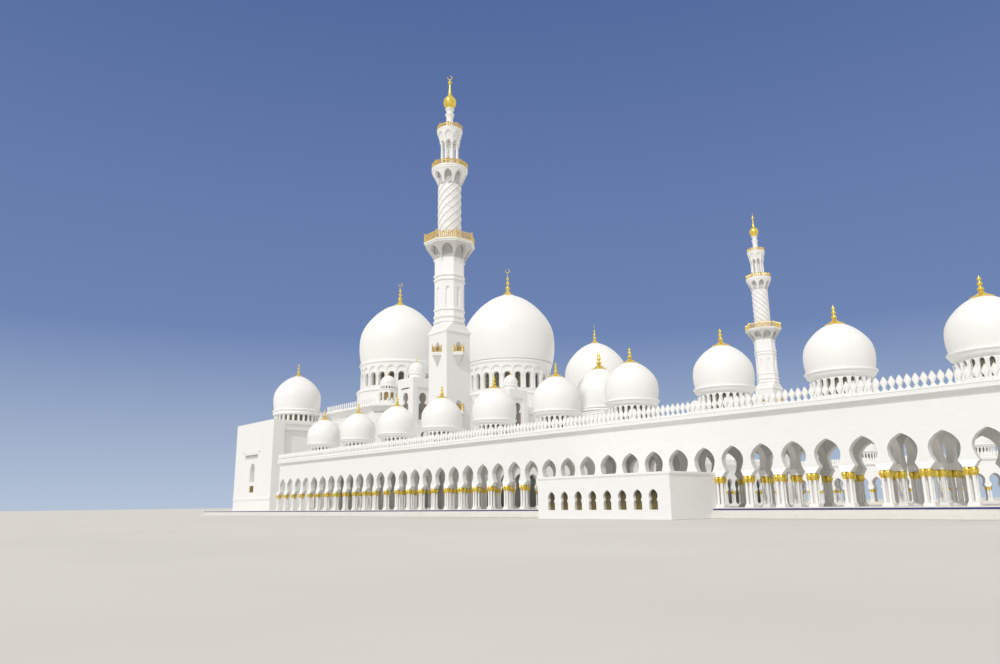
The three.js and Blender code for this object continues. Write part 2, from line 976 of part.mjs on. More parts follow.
// ----------------------------------------------- portal block before the hall
{
  const h = PORTAL_HALF,
    t = 1.2,
    x1 = PORTAL_X + h,
    x0 = HALL_EAST + 0.05;
  let b = box(x0, x1, YC - h, YC + h, FLOOR + GAP, PORTAL_Z);
  b = b.subtract(box(x0 - 1, x1 - t, YC - h + t, YC + h - t, 0, PORTAL_ROOF - 1));
  // roof behind a parapet
  b = b.subtract(
    box(x0 - 1, x1 - 0.6, YC - h + 0.6, YC + h - 0.6, PORTAL_ROOF, PORTAL_Z + 1),
  );
  b = b.subtract(alongX(pointed(YC, FLOOR - 1, 8.0, 18), x1 - 3, x1 + 2));
  b = b.subtract(
    alongY(pointed(PORTAL_X, FLOOR - 1, 6.0, 13), YC - h - 1, YC + h + 1),
  );
  b = b.add(
    turn(
      [
        [0, PORTAL_ROOF - 0.5],
        [6.9, PORTAL_ROOF - 0.5],
        [6.9, PORTAL_RING - 0.2],
        [7.5, PORTAL_RING + 0.1],
        [7.55, 34.0],
        [6.55, 38.2],
        [4.4, 41.0],
        [0, 43.1],
      ],
      16,
      PORTAL_X,
      YC,
    ),
  );
  b = b.subtract(
    turn(
      [
        [0, PORTAL_ROOF - 2],
        [6.3, PORTAL_ROOF - 2],
        [6.7, 33.1],
        [5.8, 37.6],
        [3.6, 40.3],
        [0, 42.2],
      ],
      16,
      PORTAL_X,
      YC,
    ),
  );
  add("portal_block", b);
}

// ---------------------------------------- west arcade across the courtyard end
{
  const y0 = MIN_Y + MIN_W / 2,
    y1 = 2 * YC - y0;
  const n = 32,
    step = (y1 - y0 - 2 * GAP) / n;
  const scale = step / BAY;
  const c = (k) => y0 + GAP + (k + 0.5) * step;
  for (const [name, k0, k1] of [
    ["south", 0, n / 2],
    ["north", n / 2, n],
  ]) {
    const from = y0 + GAP + k0 * step + (k0 ? GAP / 2 : 0),
      to = y0 + GAP + k1 * step - (k1 < n ? GAP / 2 : 0);
    const p = [[from, FLOOR + GAP]];
    for (let k = k0; k < k1; k++) {
      p.push([c(k) - HALF * scale, FLOOR + GAP]);
      for (const [w, z] of ARCH_PLAIN) p.push([c(k) - w * scale, z]);
      p.push([c(k), ARCH_TOP]);
      for (const [w, z] of [...ARCH_PLAIN].reverse())
        p.push([c(k) + w * scale, z]);
      p.push([c(k) + HALF * scale, FLOOR + GAP]);
    }
    p.push([to, FLOOR + GAP], [to, WALL_TOP - GAP], [from, WALL_TOP - GAP]);
    add(
      `west_arcade_${name}`,
      alongX(p, MIN_X + MIN_W / 2 - ARC_T, MIN_X + MIN_W / 2),
    );
  }
  const xe = MIN_X + MIN_W / 2;
  const xw = HALL_EAST + 0.05;
  let r = alongY(
    [
      [xw, WALL_TOP],
      [xe + 0.25, WALL_TOP],
      [xe + 0.25, CORNICE_Z],
      [xe + 0.6, CORNICE_Z],
      [xe + 0.6, PARAPET_Z],
      [xe - 0.1, PARAPET_Z],
      [xe - 0.1, SLAB_Z],
      [xw, SLAB_Z],
    ],
    y0 + GAP,
    y1 - GAP,
  );
  // the roof runs on to the arcades beside the minarets
  const ya = ARC_N + 0.6 + GAP,
    xm = MIN_X - MIN_W / 2 - 0.06 - GAP;
  r = r.add(box(xw, xm, ya, y0 + 1, WALL_TOP, SLAB_Z));
  r = r.add(box(xw, xm, y1 - 1, 2 * YC - ya, WALL_TOP, SLAB_Z));
  for (const [i, y] of [...TOWERS, ...TOWERS.map((v) => 2 * YC - v)].entries()) {
    const w = TOWER_W / 2 + 0.02;
    r = r.subtract(
      box(
        xw - 1,
        TOWER_X + w,
        i === 2 ? 2 * YC - 121.02 : y - w,
        i === 0 ? 121.02 : y + w,
        0,
        40,
      ),
    );
  }
  r = r.subtract(
    box(
      -170,
      PORTAL_X + PORTAL_HALF + GAP,
      YC - PORTAL_HALF - GAP,
      YC + PORTAL_HALF + GAP,
      0,
      40,
    ),
  );
  add("west_arcade_roof", r);
}

// ------------------------------------------------------------ low south wing
{
  const t = WING_WALL;
  let w = alongX(
    [
      [WING_S, 0],
      [POD_S - 2 * GAP, 0],
      [POD_S - 2 * GAP, FLOOR + GAP],
      [ARC_S - GAP, FLOOR + GAP],
      [ARC_S - GAP, 5.2],
      [WING_S, 5.2],
    ],
    WING_W,
    WING_E,
  );
  w = w.subtract(
    box(WING_W + t, WING_E - t, WING_S + t, ARC_S + 1, -1, 6),
  );
  for (const x of WING_WINDOWS)
    w = w.subtract(alongY(keyhole(x, 1.2, 1.3, 2.6), WING_S - 1, WING_S + 1));
  add("wing_walls", w);
  add(
    "wing_roof",
    box(WING_W - 0.12, WING_E + 0.12, WING_S - 0.12, ARC_S - GAP, 5.2 + GAP, WING_Z),
  );
}

export default group;
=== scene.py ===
import math

import bmesh
import bpy
import numpy as np
from mathutils import Matrix, Vector
from mathutils.geometry import tessellate_polygon


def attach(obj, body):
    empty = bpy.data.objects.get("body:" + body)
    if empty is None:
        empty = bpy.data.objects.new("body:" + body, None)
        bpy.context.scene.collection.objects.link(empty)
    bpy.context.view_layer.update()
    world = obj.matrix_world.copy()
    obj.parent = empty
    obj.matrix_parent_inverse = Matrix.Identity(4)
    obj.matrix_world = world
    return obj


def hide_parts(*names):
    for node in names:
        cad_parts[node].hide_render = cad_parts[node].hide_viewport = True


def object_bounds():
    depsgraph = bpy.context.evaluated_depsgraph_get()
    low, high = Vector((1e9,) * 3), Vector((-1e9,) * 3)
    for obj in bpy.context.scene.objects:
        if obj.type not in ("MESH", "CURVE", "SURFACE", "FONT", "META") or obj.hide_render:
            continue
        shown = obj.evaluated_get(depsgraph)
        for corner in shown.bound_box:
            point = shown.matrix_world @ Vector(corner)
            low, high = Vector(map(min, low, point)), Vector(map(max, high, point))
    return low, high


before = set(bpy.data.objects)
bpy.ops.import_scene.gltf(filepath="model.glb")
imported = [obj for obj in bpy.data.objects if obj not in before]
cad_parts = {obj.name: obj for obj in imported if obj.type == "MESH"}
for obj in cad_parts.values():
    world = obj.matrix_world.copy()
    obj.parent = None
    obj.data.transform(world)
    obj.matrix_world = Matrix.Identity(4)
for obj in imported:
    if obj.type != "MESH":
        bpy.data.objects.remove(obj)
cad_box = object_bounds()
cad_box = [list(map(float, cad_box[0])), list(map(float, cad_box[1]))]

XC, YC = -120.6, 174.2
FLOOR = 1.3
BAY, ARCH0 = 4.1084, -138.89
FIRST, LAST = -10, 30
ARC_S, ARC_N, ARC_T = 86.0, 98.85, 0.9
WALL_TOP, PARAPET_Z, SLAB_Z = 12.2, 13.5, 13.05
DOME_Y, DOME_X0, DOME_STEP = 92.79, -172.1, 16.434
MIN_X, MIN_Y, MIN_W = -133.36, 102.86, 6.69
MAIN_X = -191.54
SIDE_DOME = 46.15
HALL_Z = 30.3
PORTAL_X, PORTAL_HALF, PORTAL_Z, PORTAL_ROOF = -150.1, 8.6, 28.4, 26.3
BLOCK_W, BLOCK_E, BLOCK_S, BLOCK_N, BLOCK_Z = -227.6, -202.1, 93.0, 118.0, 26.7
BDOME_X, BDOME_Y = -213.4, 105.4
WING_W, WING_E, WING_S, WING_Z = -77.9, -55.2, 76.0, 5.75
WINDOWS = [-75.24, -72.75, -70.2, -67.65, -65.1, -62.62, -60.15, -57.75]
TOWER_W, TOWER_Z, TOWER_X, TOWERS = 6.9, 34.0, -158.4, [111.4, 144.5]
HALL_EAST = -161.9
HALL_S, HALL_UP = 113.7, -207.0
TURRET_X, TURRETS = -180.9, [117.3, 138.8]
HALF = (BAY - 0.99) / 2
pi = math.pi


# ------------------------------------------------------------------ materials
def nodes_of(m):
    m.use_nodes = True
    t = m.node_tree
    return t, t.nodes, t.links, t.nodes["Principled BSDF"]


def math_node(t, op, a, b=None, c=None):
    n = t.nodes.new("ShaderNodeMath")
    n.operation = op
    for i, v in enumerate((a, b, c)):
        if v is None:
            continue
        if isinstance(v, (int, float)):
            n.inputs[i].default_value = v
        else:
            t.links.new(v, n.inputs[i])
    return n.outputs[0]


def marble(name, light, dark, rough=0.42, tile=(0.12, 0.06), joint=0.06, vein=0.5, bump=0.25):
    """Honed marble in slabs: faint clouding and veins, hairline joints."""
    m = bpy.data.materials.new(name)
    t, N, L, P = nodes_of(m)
    co = N.new("ShaderNodeTexCoord").outputs["Object"]
    # soft clouding
    cloud = N.new("ShaderNodeTexNoise")
    cloud.inputs["Scale"].default_value = 2.2
    cloud.inputs["Detail"].default_value = 5
    L.new(co, cloud.inputs["Vector"])
    # veins: a stretched, distorted noise near its middle value
    vn = N.new("ShaderNodeTexNoise")
    vn.inputs["Scale"].default_value = 6.5
    vn.inputs["Detail"].default_value = 8
    vn.inputs["Distortion"].default_value = 1.6
    L.new(co, vn.inputs["Vector"])
    d = math_node(t, "ABSOLUTE", math_node(t, "SUBTRACT", vn.outputs["Fac"], 0.5))
    r1 = N.new("ShaderNodeMapRange")
    L.new(d, r1.inputs["Value"])
    r1.inputs["From Min"].default_value = 0.0
    r1.inputs["From Max"].default_value = 0.035
    r1.inputs["To Min"].default_value = vein
    r1.inputs["To Max"].default_value = 0.0
    r2 = N.new("ShaderNodeMapRange")
    L.new(cloud.outputs["Fac"], r2.inputs["Value"])
    r2.inputs["From Min"].default_value = 0.35
    r2.inputs["From Max"].default_value = 0.75
    r2.inputs["To Min"].default_value = 0.0
    r2.inputs["To Max"].default_value = 0.55
    fac = math_node(t, "MAXIMUM", r1.outputs[0], r2.outputs[0])
    mix = N.new("ShaderNodeMix")
    mix.data_type = "RGBA"
    mix.inputs["A"].default_value = (*light, 1)
    mix.inputs["B"].default_value = (*dark, 1)
    L.new(fac, mix.inputs["Factor"])
    colour = mix.outputs["Result"]
    height = vn.outputs["Fac"]
    if tile:
        # slab joints: u runs along any upright wall, v is height
        s = N.new("ShaderNodeSeparateXYZ")
        L.new(co, s.inputs[0])
        c = N.new("ShaderNodeCombineXYZ")
        L.new(math_node(t, "ADD", s.outputs[0], s.outputs[1]), c.inputs[0])
        L.new(s.outputs[2], c.inputs[1])
        br = N.new("ShaderNodeTexBrick")
        br.offset = 0.5
        br.inputs["Color1"].default_value = (1, 1, 1, 1)
        br.inputs["Color2"].default_value = (0.965, 0.965, 0.965, 1)
        br.inputs["Mortar"].default_value = (0.8, 0.8, 0.8, 1)
        br.inputs["Scale"].default_value = 1.0
        br.inputs["Mortar Size"].default_value = 0.0007
        br.inputs["Mortar Smooth"].default_value = 0.3
        br.inputs["Bias"].default_value = 0.0
        br.inputs["Brick Width"].default_value = tile[0]
        br.inputs["Row Height"].default_value = tile[1]
        L.new(c.outputs[0], br.inputs["Vector"])
        mm = N.new("ShaderNodeMix")
        mm.data_type = "RGBA"
        mm.blend_type = "MULTIPLY"
        mm.inputs["Factor"].default_value = joint * 10
        L.new(colour, mm.inputs["A"])
        L.new(br.outputs["Color"], mm.inputs["B"])
        colour = mm.outputs["Result"]
        height = math_node(
            t, "ADD", math_node(t, "MULTIPLY", vn.outputs["Fac"], 0.15), math_node(t, "MULTIPLY", br.outputs["Fac"], -0.6)
        )
    L.new(colour, P.inputs["Base Color"])
    rr = N.new("ShaderNodeMapRange")
    L.new(cloud.outputs["Fac"], rr.inputs["Value"])
    rr.inputs["To Min"].default_value = rough - 0.07
    rr.inputs["To Max"].default_value = rough + 0.09
    L.new(rr.outputs[0], P.inputs["Roughness"])
    b = N.new("ShaderNodeBump")
    b.inputs["Strength"].default_value = bump
    b.inputs["Distance"].default_value = 0.002
    L.new(height, b.inputs["Height"])
    L.new(b.outputs[0], P.inputs["Normal"])
    return m


def gilding(name, bright, deep, rough=0.26, scale=30.0):
    """Gold leaf: metallic, with slight dents and darker tone in places."""
    m = bpy.data.materials.new(name)
    t, N, L, P = nodes_of(m)
    co = N.new("ShaderNodeTexCoord").outputs["Object"]
    n = N.new("ShaderNodeTexNoise")
    n.inputs["Scale"].default_value = scale
    n.inputs["Detail"].default_value = 4
    L.new(co, n.inputs["Vector"])
    ramp = N.new("ShaderNodeValToRGB")
    ramp.color_ramp.elements[0].position = 0.38
    ramp.color_ramp.elements[0].color = (*deep, 1)
    ramp.color_ramp.elements[1].position = 0.62
    ramp.color_ramp.elements[1].color = (*bright, 1)
    L.new(n.outputs["Fac"], ramp.inputs["Fac"])
    L.new(ramp.outputs["Color"], P.inputs["Base Color"])
    P.inputs["Metallic"].default_value = 0.82
    r = N.new("ShaderNodeMapRange")
    L.new(n.outputs["Fac"], r.inputs["Value"])
    r.inputs["To Min"].default_value = rough - 0.06
    r.inputs["To Max"].default_value = rough + 0.12
    L.new(r.outputs[0], P.inputs["Roughness"])
    b = N.new("ShaderNodeBump")
    b.inputs["Strength"].default_value = 0.3
    b.inputs["Distance"].default_value = 0.002
    L.new(n.outputs["Fac"], b.inputs["Height"])
    L.new(b.outputs[0], P.inputs["Normal"])
    return m


def plain(name, c1, c2, rough, scale=12.0, metallic=0.0, bump=0.1):
    m = bpy.data.materials.new(name)
    t, N, L, P = nodes_of(m)
    co = N.new("ShaderNodeTexCoord").outputs["Object"]
    n = N.new("ShaderNodeTexNoise")
    n.inputs["Scale"].default_value = scale
    n.inputs["Detail"].default_value = 4
    L.new(co, n.inputs["Vector"])
    ramp = N.new("ShaderNodeValToRGB")
    ramp.color_ramp.elements[0].position = 0.35
    ramp.color_ramp.elements[0].color = (*c1, 1)
    ramp.color_ramp.elements[1].position = 0.65
    ramp.color_ramp.elements[1].color = (*c2, 1)
    L.new(n.outputs["Fac"], ramp.inputs["Fac"])
    L.new(ramp.outputs["Color"], P.inputs["Base Color"])
    P.inputs["Metallic"].default_value = metallic
    r = N.new("ShaderNodeMapRange")
    L.new(n.outputs["Fac"], r.inputs["Value"])
    r.inputs["To Min"].default_value = rough * 0.8
    r.inputs["To Max"].default_value = rough * 1.2
    L.new(r.outputs[0], P.inputs["Roughness"])
    b = N.new("ShaderNodeBump")
    b.inputs["Strength"].default_value = bump
    b.inputs["Distance"].default_value = 0.001
    L.new(n.outputs["Fac"], b.inputs["Height"])
    L.new(b.outputs[0], P.inputs["Normal"])
    return m


def graded(name, low, high, z0, z1, rough):
    """Tinted glazing, low colour at height z0 and high colour at z1, slightly uneven."""
    m = plain(name, low, low, rough, 30.0, bump=0.15)
    t, N, L, P = nodes_of(m)
    s = N.new("ShaderNodeSeparateXYZ")
    L.new(N.new("ShaderNodeTexCoord").outputs["Object"], s.inputs[0])
    r = N.new("ShaderNodeMapRange")
    L.new(s.outputs[2], r.inputs["Value"])
    r.inputs["From Min"].default_value, r.inputs["From Max"].default_value = z0, z1
    n = N.new("ShaderNodeTexNoise")
    n.inputs["Scale"].default_value = 35.0
    f = math_node(t, "ADD", r.outputs[0], math_node(t, "MULTIPLY", math_node(t, "SUBTRACT", n.outputs["Fac"], 0.5), 0.5))
    mix = N.new("ShaderNodeMix")
    mix.data_type = "RGBA"
    mix.inputs["A"].default_value = (*low, 1)
    mix.inputs["B"].default_value = (*high, 1)
    L.new(f, mix.inputs["Factor"])
    L.new(mix.outputs["Result"], P.inputs["Base Color"])
    return m


WHITE = marble("wall_marble", (0.885, 0.885, 0.875), (0.845, 0.85, 0.85))
DOME = marble("dome_marble", (0.9, 0.895, 0.88), (0.86, 0.86, 0.85), rough=0.34, tile=None, vein=0.25, bump=0.1)
TRIM = marble("trim_marble", (0.9, 0.898, 0.885), (0.86, 0.86, 0.85), rough=0.4, tile=None, vein=0.2, bump=0.12)
PLINTH = marble("plinth_marble", (0.8, 0.78, 0.74), (0.72, 0.7, 0.66), rough=0.4, tile=(0.09, 0.09), joint=0.09)
COLUMN = marble("column_marble", (0.9, 0.895, 0.885), (0.84, 0.835, 0.82), rough=0.25, tile=None, vein=0.35, bump=0.05)
GOLD = gilding("gold_leaf", (0.97, 0.79, 0.19), (0.78, 0.55, 0.07))
RAIL = gilding("gilded_rail", (0.95, 0.75, 0.3), (0.64, 0.43, 0.12), rough=0.34, scale=60.0)
# a darker copy of the marble: painted shade on the balcony corbels, the slabs' middle layer and the minaret's lower
# gallery
SHADE_MARBLE = marble("painted_shade_marble", (0.66, 0.65, 0.635), (0.6, 0.595, 0.58), rough=0.45, tile=None, vein=0.2, bump=0.12)
# dark niche backs: painted shade inside the towers' blind niches
NICHE_SHADE = plain("niche_painted_shade", (0.19, 0.175, 0.155), (0.26, 0.24, 0.21), 0.6, 8.0)
GLASS = plain("window_glazing", (0.035, 0.034, 0.03), (0.075, 0.068, 0.05), 0.16, 25.0)
OLIVE = plain("shaded_glazing", (0.09, 0.085, 0.06), (0.18, 0.17, 0.118), 0.24, 20.0)
# grey marble: painted shade in recess backs, the shaft's grooves and the minaret's gallery backings; also the grey of
# the balcony doorways' screens and of the shaft's fine cross joints
GREY = plain("grey_and_painted_shade", (0.5, 0.49, 0.48), (0.56, 0.55, 0.54), 0.5, 8.0)
BRONZE = plain("dark_bronze", (0.05, 0.04, 0.028), (0.09, 0.075, 0.05), 0.4, 40.0, metallic=0.5)
# gold-brown glazing that darkens towards the window's head: painted shade under the head
SHADED = graded("wing_glazing_painted_shade", (0.45, 0.36, 0.16), (0.12, 0.1, 0.06), 0.14, 0.36, 0.3)
AMBER = plain("lattice_glazing", (0.2, 0.13, 0.05), (0.5, 0.36, 0.13), 0.35, 55.0, metallic=0.35, bump=0.4)
NIGHT = plain("deep_shade", (0.09, 0.08, 0.07), (0.14, 0.13, 0.12), 0.7, 6.0)
BLUE = plain("blue_tile", (0.02, 0.03, 0.16), (0.035, 0.055, 0.26), 0.15, 40.0)


# ------------------------------------------------------------------- geometry
class Geo:
    """Faces in building metres, gathered as arrays."""

    def __init__(self):
        self.P, self.L, self.C, self.M, self.n = [], [], [], [], 0

    def faces(self, pts, faces, mat):
        pts = np.asarray(pts, float).reshape(-1, 3)
        self.L.append(np.fromiter((i for f in faces for i in f), np.int64) + self.n)
        self.C.append(np.fromiter((len(f) for f in faces), np.int64))
        self.M += [mat] * len(faces)
        self.P.append(pts)
        self.n += len(pts)
        return self

    def add(self, g, shift=(0, 0, 0), turn=0.0, about=(0, 0), mirror=False):
        P, L, C = g.arrays()
        P = P.copy()
        if turn:
            c, s = math.cos(turn), math.sin(turn)
            x, y = P[:, 0] - about[0], P[:, 1] - about[1]
            P[:, 0], P[:, 1] = about[0] + c * x - s * y, about[1] + s * x + c * y
        P += np.asarray(shift, float)
        if mirror:
            P[:, 1] = 2 * YC - P[:, 1]
            ends = np.cumsum(C)
            L = np.concatenate([L[e - k : e][::-1] for e, k in zip(ends, C)]) if len(C) else L
        self.L.append(L + self.n)
        self.C.append(C)
        self.M += g.M
        self.P.append(P)
        self.n += len(P)
        return self

    def arrays(self):
        if not self.P:
            return np.zeros((0, 3)), np.zeros(0, np.int64), np.zeros(0, np.int64)
        if len(self.P) > 1:
            self.P, self.L, self.C = [np.concatenate(self.P)], [np.concatenate(self.L)], [np.concatenate(self.C)]
        return self.P[0], self.L[0], self.C[0]

    def box(self, x0, x1, y0, y1, z0, z1, mat=None, c=0.0):
        """A block; c chamfers its upright and top edges."""
        mat = mat or WHITE
        if not c:
            p = [(x, y, z) for z in (z0, z1) for y in (y0, y1) for x in (x0, x1)]
            f = [(0, 2, 3, 1), (4, 5, 7, 6), (0, 1, 5, 4), (2, 6, 7, 3), (0, 4, 6, 2), (1, 3, 7, 5)]
            return self.faces(p, f, mat)
        ring = lambda a, z: [
            (x0 + a, y0 + c + a, z), (x0 + c + a, y0 + a, z), (x1 - c - a, y0 + a, z), (x1 - a, y0 + c + a, z),
            (x1 - a, y1 - c - a, z), (x1 - c - a, y1 - a, z), (x0 + c + a, y1 - a, z), (x0 + a, y1 - c - a, z),
        ]
        p = ring(0, z0) + ring(0, z1 - c) + ring(c * 0.6, z1)
        f = [tuple(range(7, -1, -1)), tuple(range(16, 24))]
        for k in (0, 8):
            f += [(k + i, k + (i + 1) % 8, k + 8 + (i + 1) % 8, k + 8 + i) for i in range(8)]
        return self.faces(p, f, mat)

    def lathe(self, prof, n, x, y, mat=None, phase=0.0, wave=None):
        """A turned shape; a profile of [radius, z] that starts and ends on the axis is closed."""
        mat = mat or TRIM
        pts, rings = [], []
        for j, (r, z) in enumerate(prof):
            if r < 1e-6:
                rings.append([len(pts)])
                pts.append((x, y, z))
            else:
                rings.append(list(range(len(pts), len(pts) + n)))
                for i in range(n):
                    a = phase + 2 * pi * i / n
                    q = r * (1 + (wave[j] * math.cos(wave[-1] * a) if wave else 0))
                    pts.append((x + q * math.cos(a), y + q * math.sin(a), z))
        f = []
        for a, b in zip(rings, rings[1:]):
            for i in range(n):
                k = (i + 1) % n
                if len(a) == 1 and len(b) == 1:
                    break
                if len(a) == 1:
                    f.append((a[0], b[k], b[i]))
                elif len(b) == 1:
                    f.append((a[i], a[k], b[0]))
                else:
                    f.append((a[i], a[k], b[k], b[i]))
        return self.faces(pts, f, mat)

    def prism(self, outline, plane, a, b, mat=None, taper=0.0):
        """An outline carried from a to b. plane is xz (along y), yz (along x) or xy (along z)."""
        mat = mat or WHITE
        o = np.asarray(outline, float)
        n = len(o)
        k = {"xz": lambda u, v, w: (u, w, v), "yz": lambda u, v, w: (w, u, v), "xy": lambda u, v, w: (u, v, w)}[plane]
        c = o.mean(0)
        pts = [k(u, v, a) for u, v in c + (o - c) * (1 - taper)] + [k(u, v, b) for u, v in o]
        f = [tuple(range(n)), tuple(range(2 * n - 1, n - 1, -1))]
        f += [(i, n + i, n + (i + 1) % n, (i + 1) % n) for i in range(n)]
        return self.faces(pts, f, mat)

    def comb(self, half, ztop, where, bays, mat=None, ends=False):
        """A run of arched bays. half lists [h, z] up one side of the opening, h as a share of half a bay.
        where(bay, s, z, d) gives the point at s from -1 to 1 across a bay, on the front (d 0) or the back (d 1)."""
        mat = mat or WHITE
        zs = [z for _, z in half]
        pts, f = [], []

        seen = {}

        def P(k, s, z, d):
            q = where(k, s, z, d)
            key = tuple(round(v, 4) for v in q)
            if key not in seen:
                seen[key] = len(pts)
                pts.append(q)
            return seen[key]

        for k in bays:
            for g in (-1, 1):
                b = [[P(k, g, z, d) for z in zs] for d in (0, 1)]
                c = [[P(k, g * h, z, d) for h, z in half] for d in (0, 1)]
                t = [(P(k, g, ztop, d), P(k, 0, ztop, d)) for d in (0, 1)]
                w = lambda *q: f.append(q if g > 0 else q[::-1])
                for i in range(len(half) - 1):
                    w(c[0][i], b[0][i], b[0][i + 1], c[0][i + 1])
                    w(b[1][i], c[1][i], c[1][i + 1], b[1][i + 1])
                    w(c[0][i + 1], c[1][i + 1], c[1][i], c[0][i])
                w(c[0][-1], b[0][-1], t[0][0], t[0][1])
                w(b[1][-1], c[1][-1], t[1][1], t[1][0])
                w(t[0][1], t[0][0], t[1][0], t[1][1])
                w(c[0][0], c[1][0], b[1][0], b[0][0])
                if ends and ((k == bays[0] and g < 0) or (k == bays[-1] and g > 0)):
                    for i in range(len(half) - 1):
                        w(b[0][i], b[1][i], b[1][i + 1], b[0][i + 1])
                    w(b[0][-1], b[1][-1], t[1][0], t[0][0])
        return self.faces(pts, f, mat)


made = []


def piece(name, g, replaces=(), smooth=32, mirror=False):
    P, L, C = g.arrays()
    P = P.copy()
    if mirror:
        P[:, 1] = 2 * YC - P[:, 1]
    P = np.stack([(P[:, 0] - XC) / 10, (P[:, 1] - YC) / 10, P[:, 2] / 10], 1)
    me = bpy.data.meshes.new(name)
    me.vertices.add(len(P))
    me.vertices.foreach_set("co", P.astype(np.float32).ravel())
    me.loops.add(len(L))
    me.loops.foreach_set("vertex_index", L.astype(np.int32))
    me.polygons.add(len(C))
    me.polygons.foreach_set("loop_start", (np.cumsum(C) - C).astype(np.int32))
    mats = []
    for m in g.M:
        if m not in mats:
            mats.append(m)
    for m in mats:
        me.materials.append(m)
    index = {m: i for i, m in enumerate(mats)}
    me.update(calc_edges=True)
    me.validate()
    bm = bmesh.new()
    bm.from_mesh(me)
    if len(bm.faces) == len(g.M):
        bm.faces.ensure_lookup_table()
        for face, m in zip(bm.faces, g.M):
            face.material_index = index[m]
            face.smooth = True
    bmesh.ops.recalc_face_normals(bm, faces=bm.faces)
    bm.to_mesh(me)
    bm.free()
    me.set_sharp_from_angle(angle=math.radians(smooth))
    o = bpy.data.objects.new(name, me)
    bpy.context.scene.collection.objects.link(o)
    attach(o, "root")
    if replaces:
        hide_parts(*replaces)
    made.append((name, sum(max(0, c - 2) for c in C)))
    return o


def both(name, g, nodes=(), smooth=32):
    """The same piece on the south side and, mirrored, on the north side."""
    for side, m in (("south", False), ("north", True)):
        piece(f"{side}_{name}", g, [f"{side}_{n}" for n in nodes], smooth, m)


# arch of the arcades, up one side: [half width, z]
ARCH = [
    (1.08, 5.85), (1.15, 5.98), (1.27, 6.2), (1.375, 6.44), (1.475, 6.77), (1.53, 7.1), (1.545, 7.35), (1.51, 7.6),
    (1.4, 7.88), (1.23, 8.16), (1.03, 8.4), (0.8, 8.6), (0.58, 8.75), (0.3, 8.91), (0, 9.04),
]
H2 = BAY / 2
ARCH_N = [(h / H2, z) for h, z in ARCH]


def round_map(x, y, n, r0, r1, phase=0.0):
    """Bays round a circle; r0 and r1 are radii or functions of z."""
    f0 = r0 if callable(r0) else lambda z: r0
    f1 = r1 if callable(r1) else lambda z: r1

    def where(k, s, z, d):
        a = phase + (k + s / 2) * 2 * pi / n
        r = f1(z) if d else f0(z)
        return (x + r * math.cos(a), y + r * math.sin(a), z)

    return where


def poly_map(x, y, n, r0, r1, phase=0.0):
    """Bays on the flat faces of a regular polygon; r0 and r1 are distances to a face."""
    f0 = r0 if callable(r0) else lambda z: r0
    f1 = r1 if callable(r1) else lambda z: r1

    def where(k, s, z, d):
        a = phase + k * 2 * pi / n
        r = f1(z) if d else f0(z)
        t = s * r * math.tan(pi / n)
        return (x + r * math.cos(a) - t * math.sin(a), y + r * math.sin(a) + t * math.cos(a), z)

    return where


def along_x(x0, step, y0, y1):
    return lambda k, s, z, d: (x0 + (k + s / 2) * step, y1 if d else y0, z)


def along_y(y0, step, x0, x1):
    return lambda k, s, z, d: (x1 if d else x0, y0 + (k + s / 2) * step, z)


def arch_top(w, z0, z1, rise, n=7, point=0.15):
    """Upright sides from z0 and a pointed arch that ends at z1; w is the half width as a share of half a bay."""
    zs = z1 - rise
    out = [(w, z0), (w, zs)]
    for i in range(1, n + 1):
        t = i / n * pi / 2
        out.append((w * math.cos(t) ** (1 - point), zs + rise * math.sin(t) ** 1.08))
    out[-1] = (0, z1)
    return out


# ------------------------------------------------------------- columns, piers
def column_cluster(fine, back=0.0):
    """Four columns under one pier, about their centre, from the floor to the arches."""
    g = Geo()
    n = 12 if fine else 6
    g.box(-0.6, 0.6, -0.6, 0.6, 1.3, 1.52, COLUMN, 0.03)
    g.box(-0.54, 0.54, -0.54, 0.54, 1.52, 1.66, COLUMN, 0.03)
    for x in (-0.3, 0.3):
        for y in (-0.3, 0.3):
            if fine:
                shaft = [(0, 1.66), (0.235, 1.66), (0.25, 1.71), (0.235, 1.77), (0.19, 1.8), (0.2, 1.85), (0.175, 1.9), (0.168, 3.2), (0.158, 4.22), (0.19, 4.25), (0.19, 4.31), (0, 4.31)]
                g.lathe(shaft, n, x, y, COLUMN)
                # palm leaves: a rounded, fluted head drawn in at top and foot
                cap = [(0, 4.31), (0.16, 4.31), (0.2, 4.4), (0.255, 4.53), (0.305, 4.68), (0.325, 4.82), (0.31, 4.96), (0.26, 5.07), (0.2, 5.13), (0, 5.15)]
                g.lathe(cap, 24, x, y, GOLD, wave=[0, 0.04, 0.07, 0.1, 0.12, 0.13, 0.12, 0.08, 0.04, 0, 8])
            else:
                g.lathe([(0.2, 1.66), (0.17, 1.85), (0.16, 4.31)], n, x, y, COLUMN)
                g.lathe([(0.17, 4.31), (0.26, 4.53), (0.32, 4.8), (0.27, 5.07), (0.2, 5.13)], 8, x, y, GOLD)
    g.box(-0.58, 0.58, -0.56, 0.56, 5.12, 5.22, TRIM, 0.02)
    # faceted block that carries the arch; back sets its head over the wall behind the columns
    a, b, c = 0.56, 0.985, 0.45
    p = [(-a, -0.5, 5.22), (a, -0.5, 5.22), (a, 0.5, 5.22), (-a, 0.5, 5.22), (-b, -c + back, 5.85), (b, -c + back, 5.85), (b, c + back, 5.85), (-b, c + back, 5.85)]
    g.faces(p, [(3, 2, 1, 0), (4, 5, 6, 7), (0, 1, 5, 4), (1, 2, 6, 5), (2, 3, 7, 6), (3, 0, 4, 7)], TRIM)
    return g


BACK = 0.22  # the outer columns stand this far before the middle of their wall
FINE, FAR, COARSE = column_cluster(True, BACK), column_cluster(False, BACK), column_cluster(False)


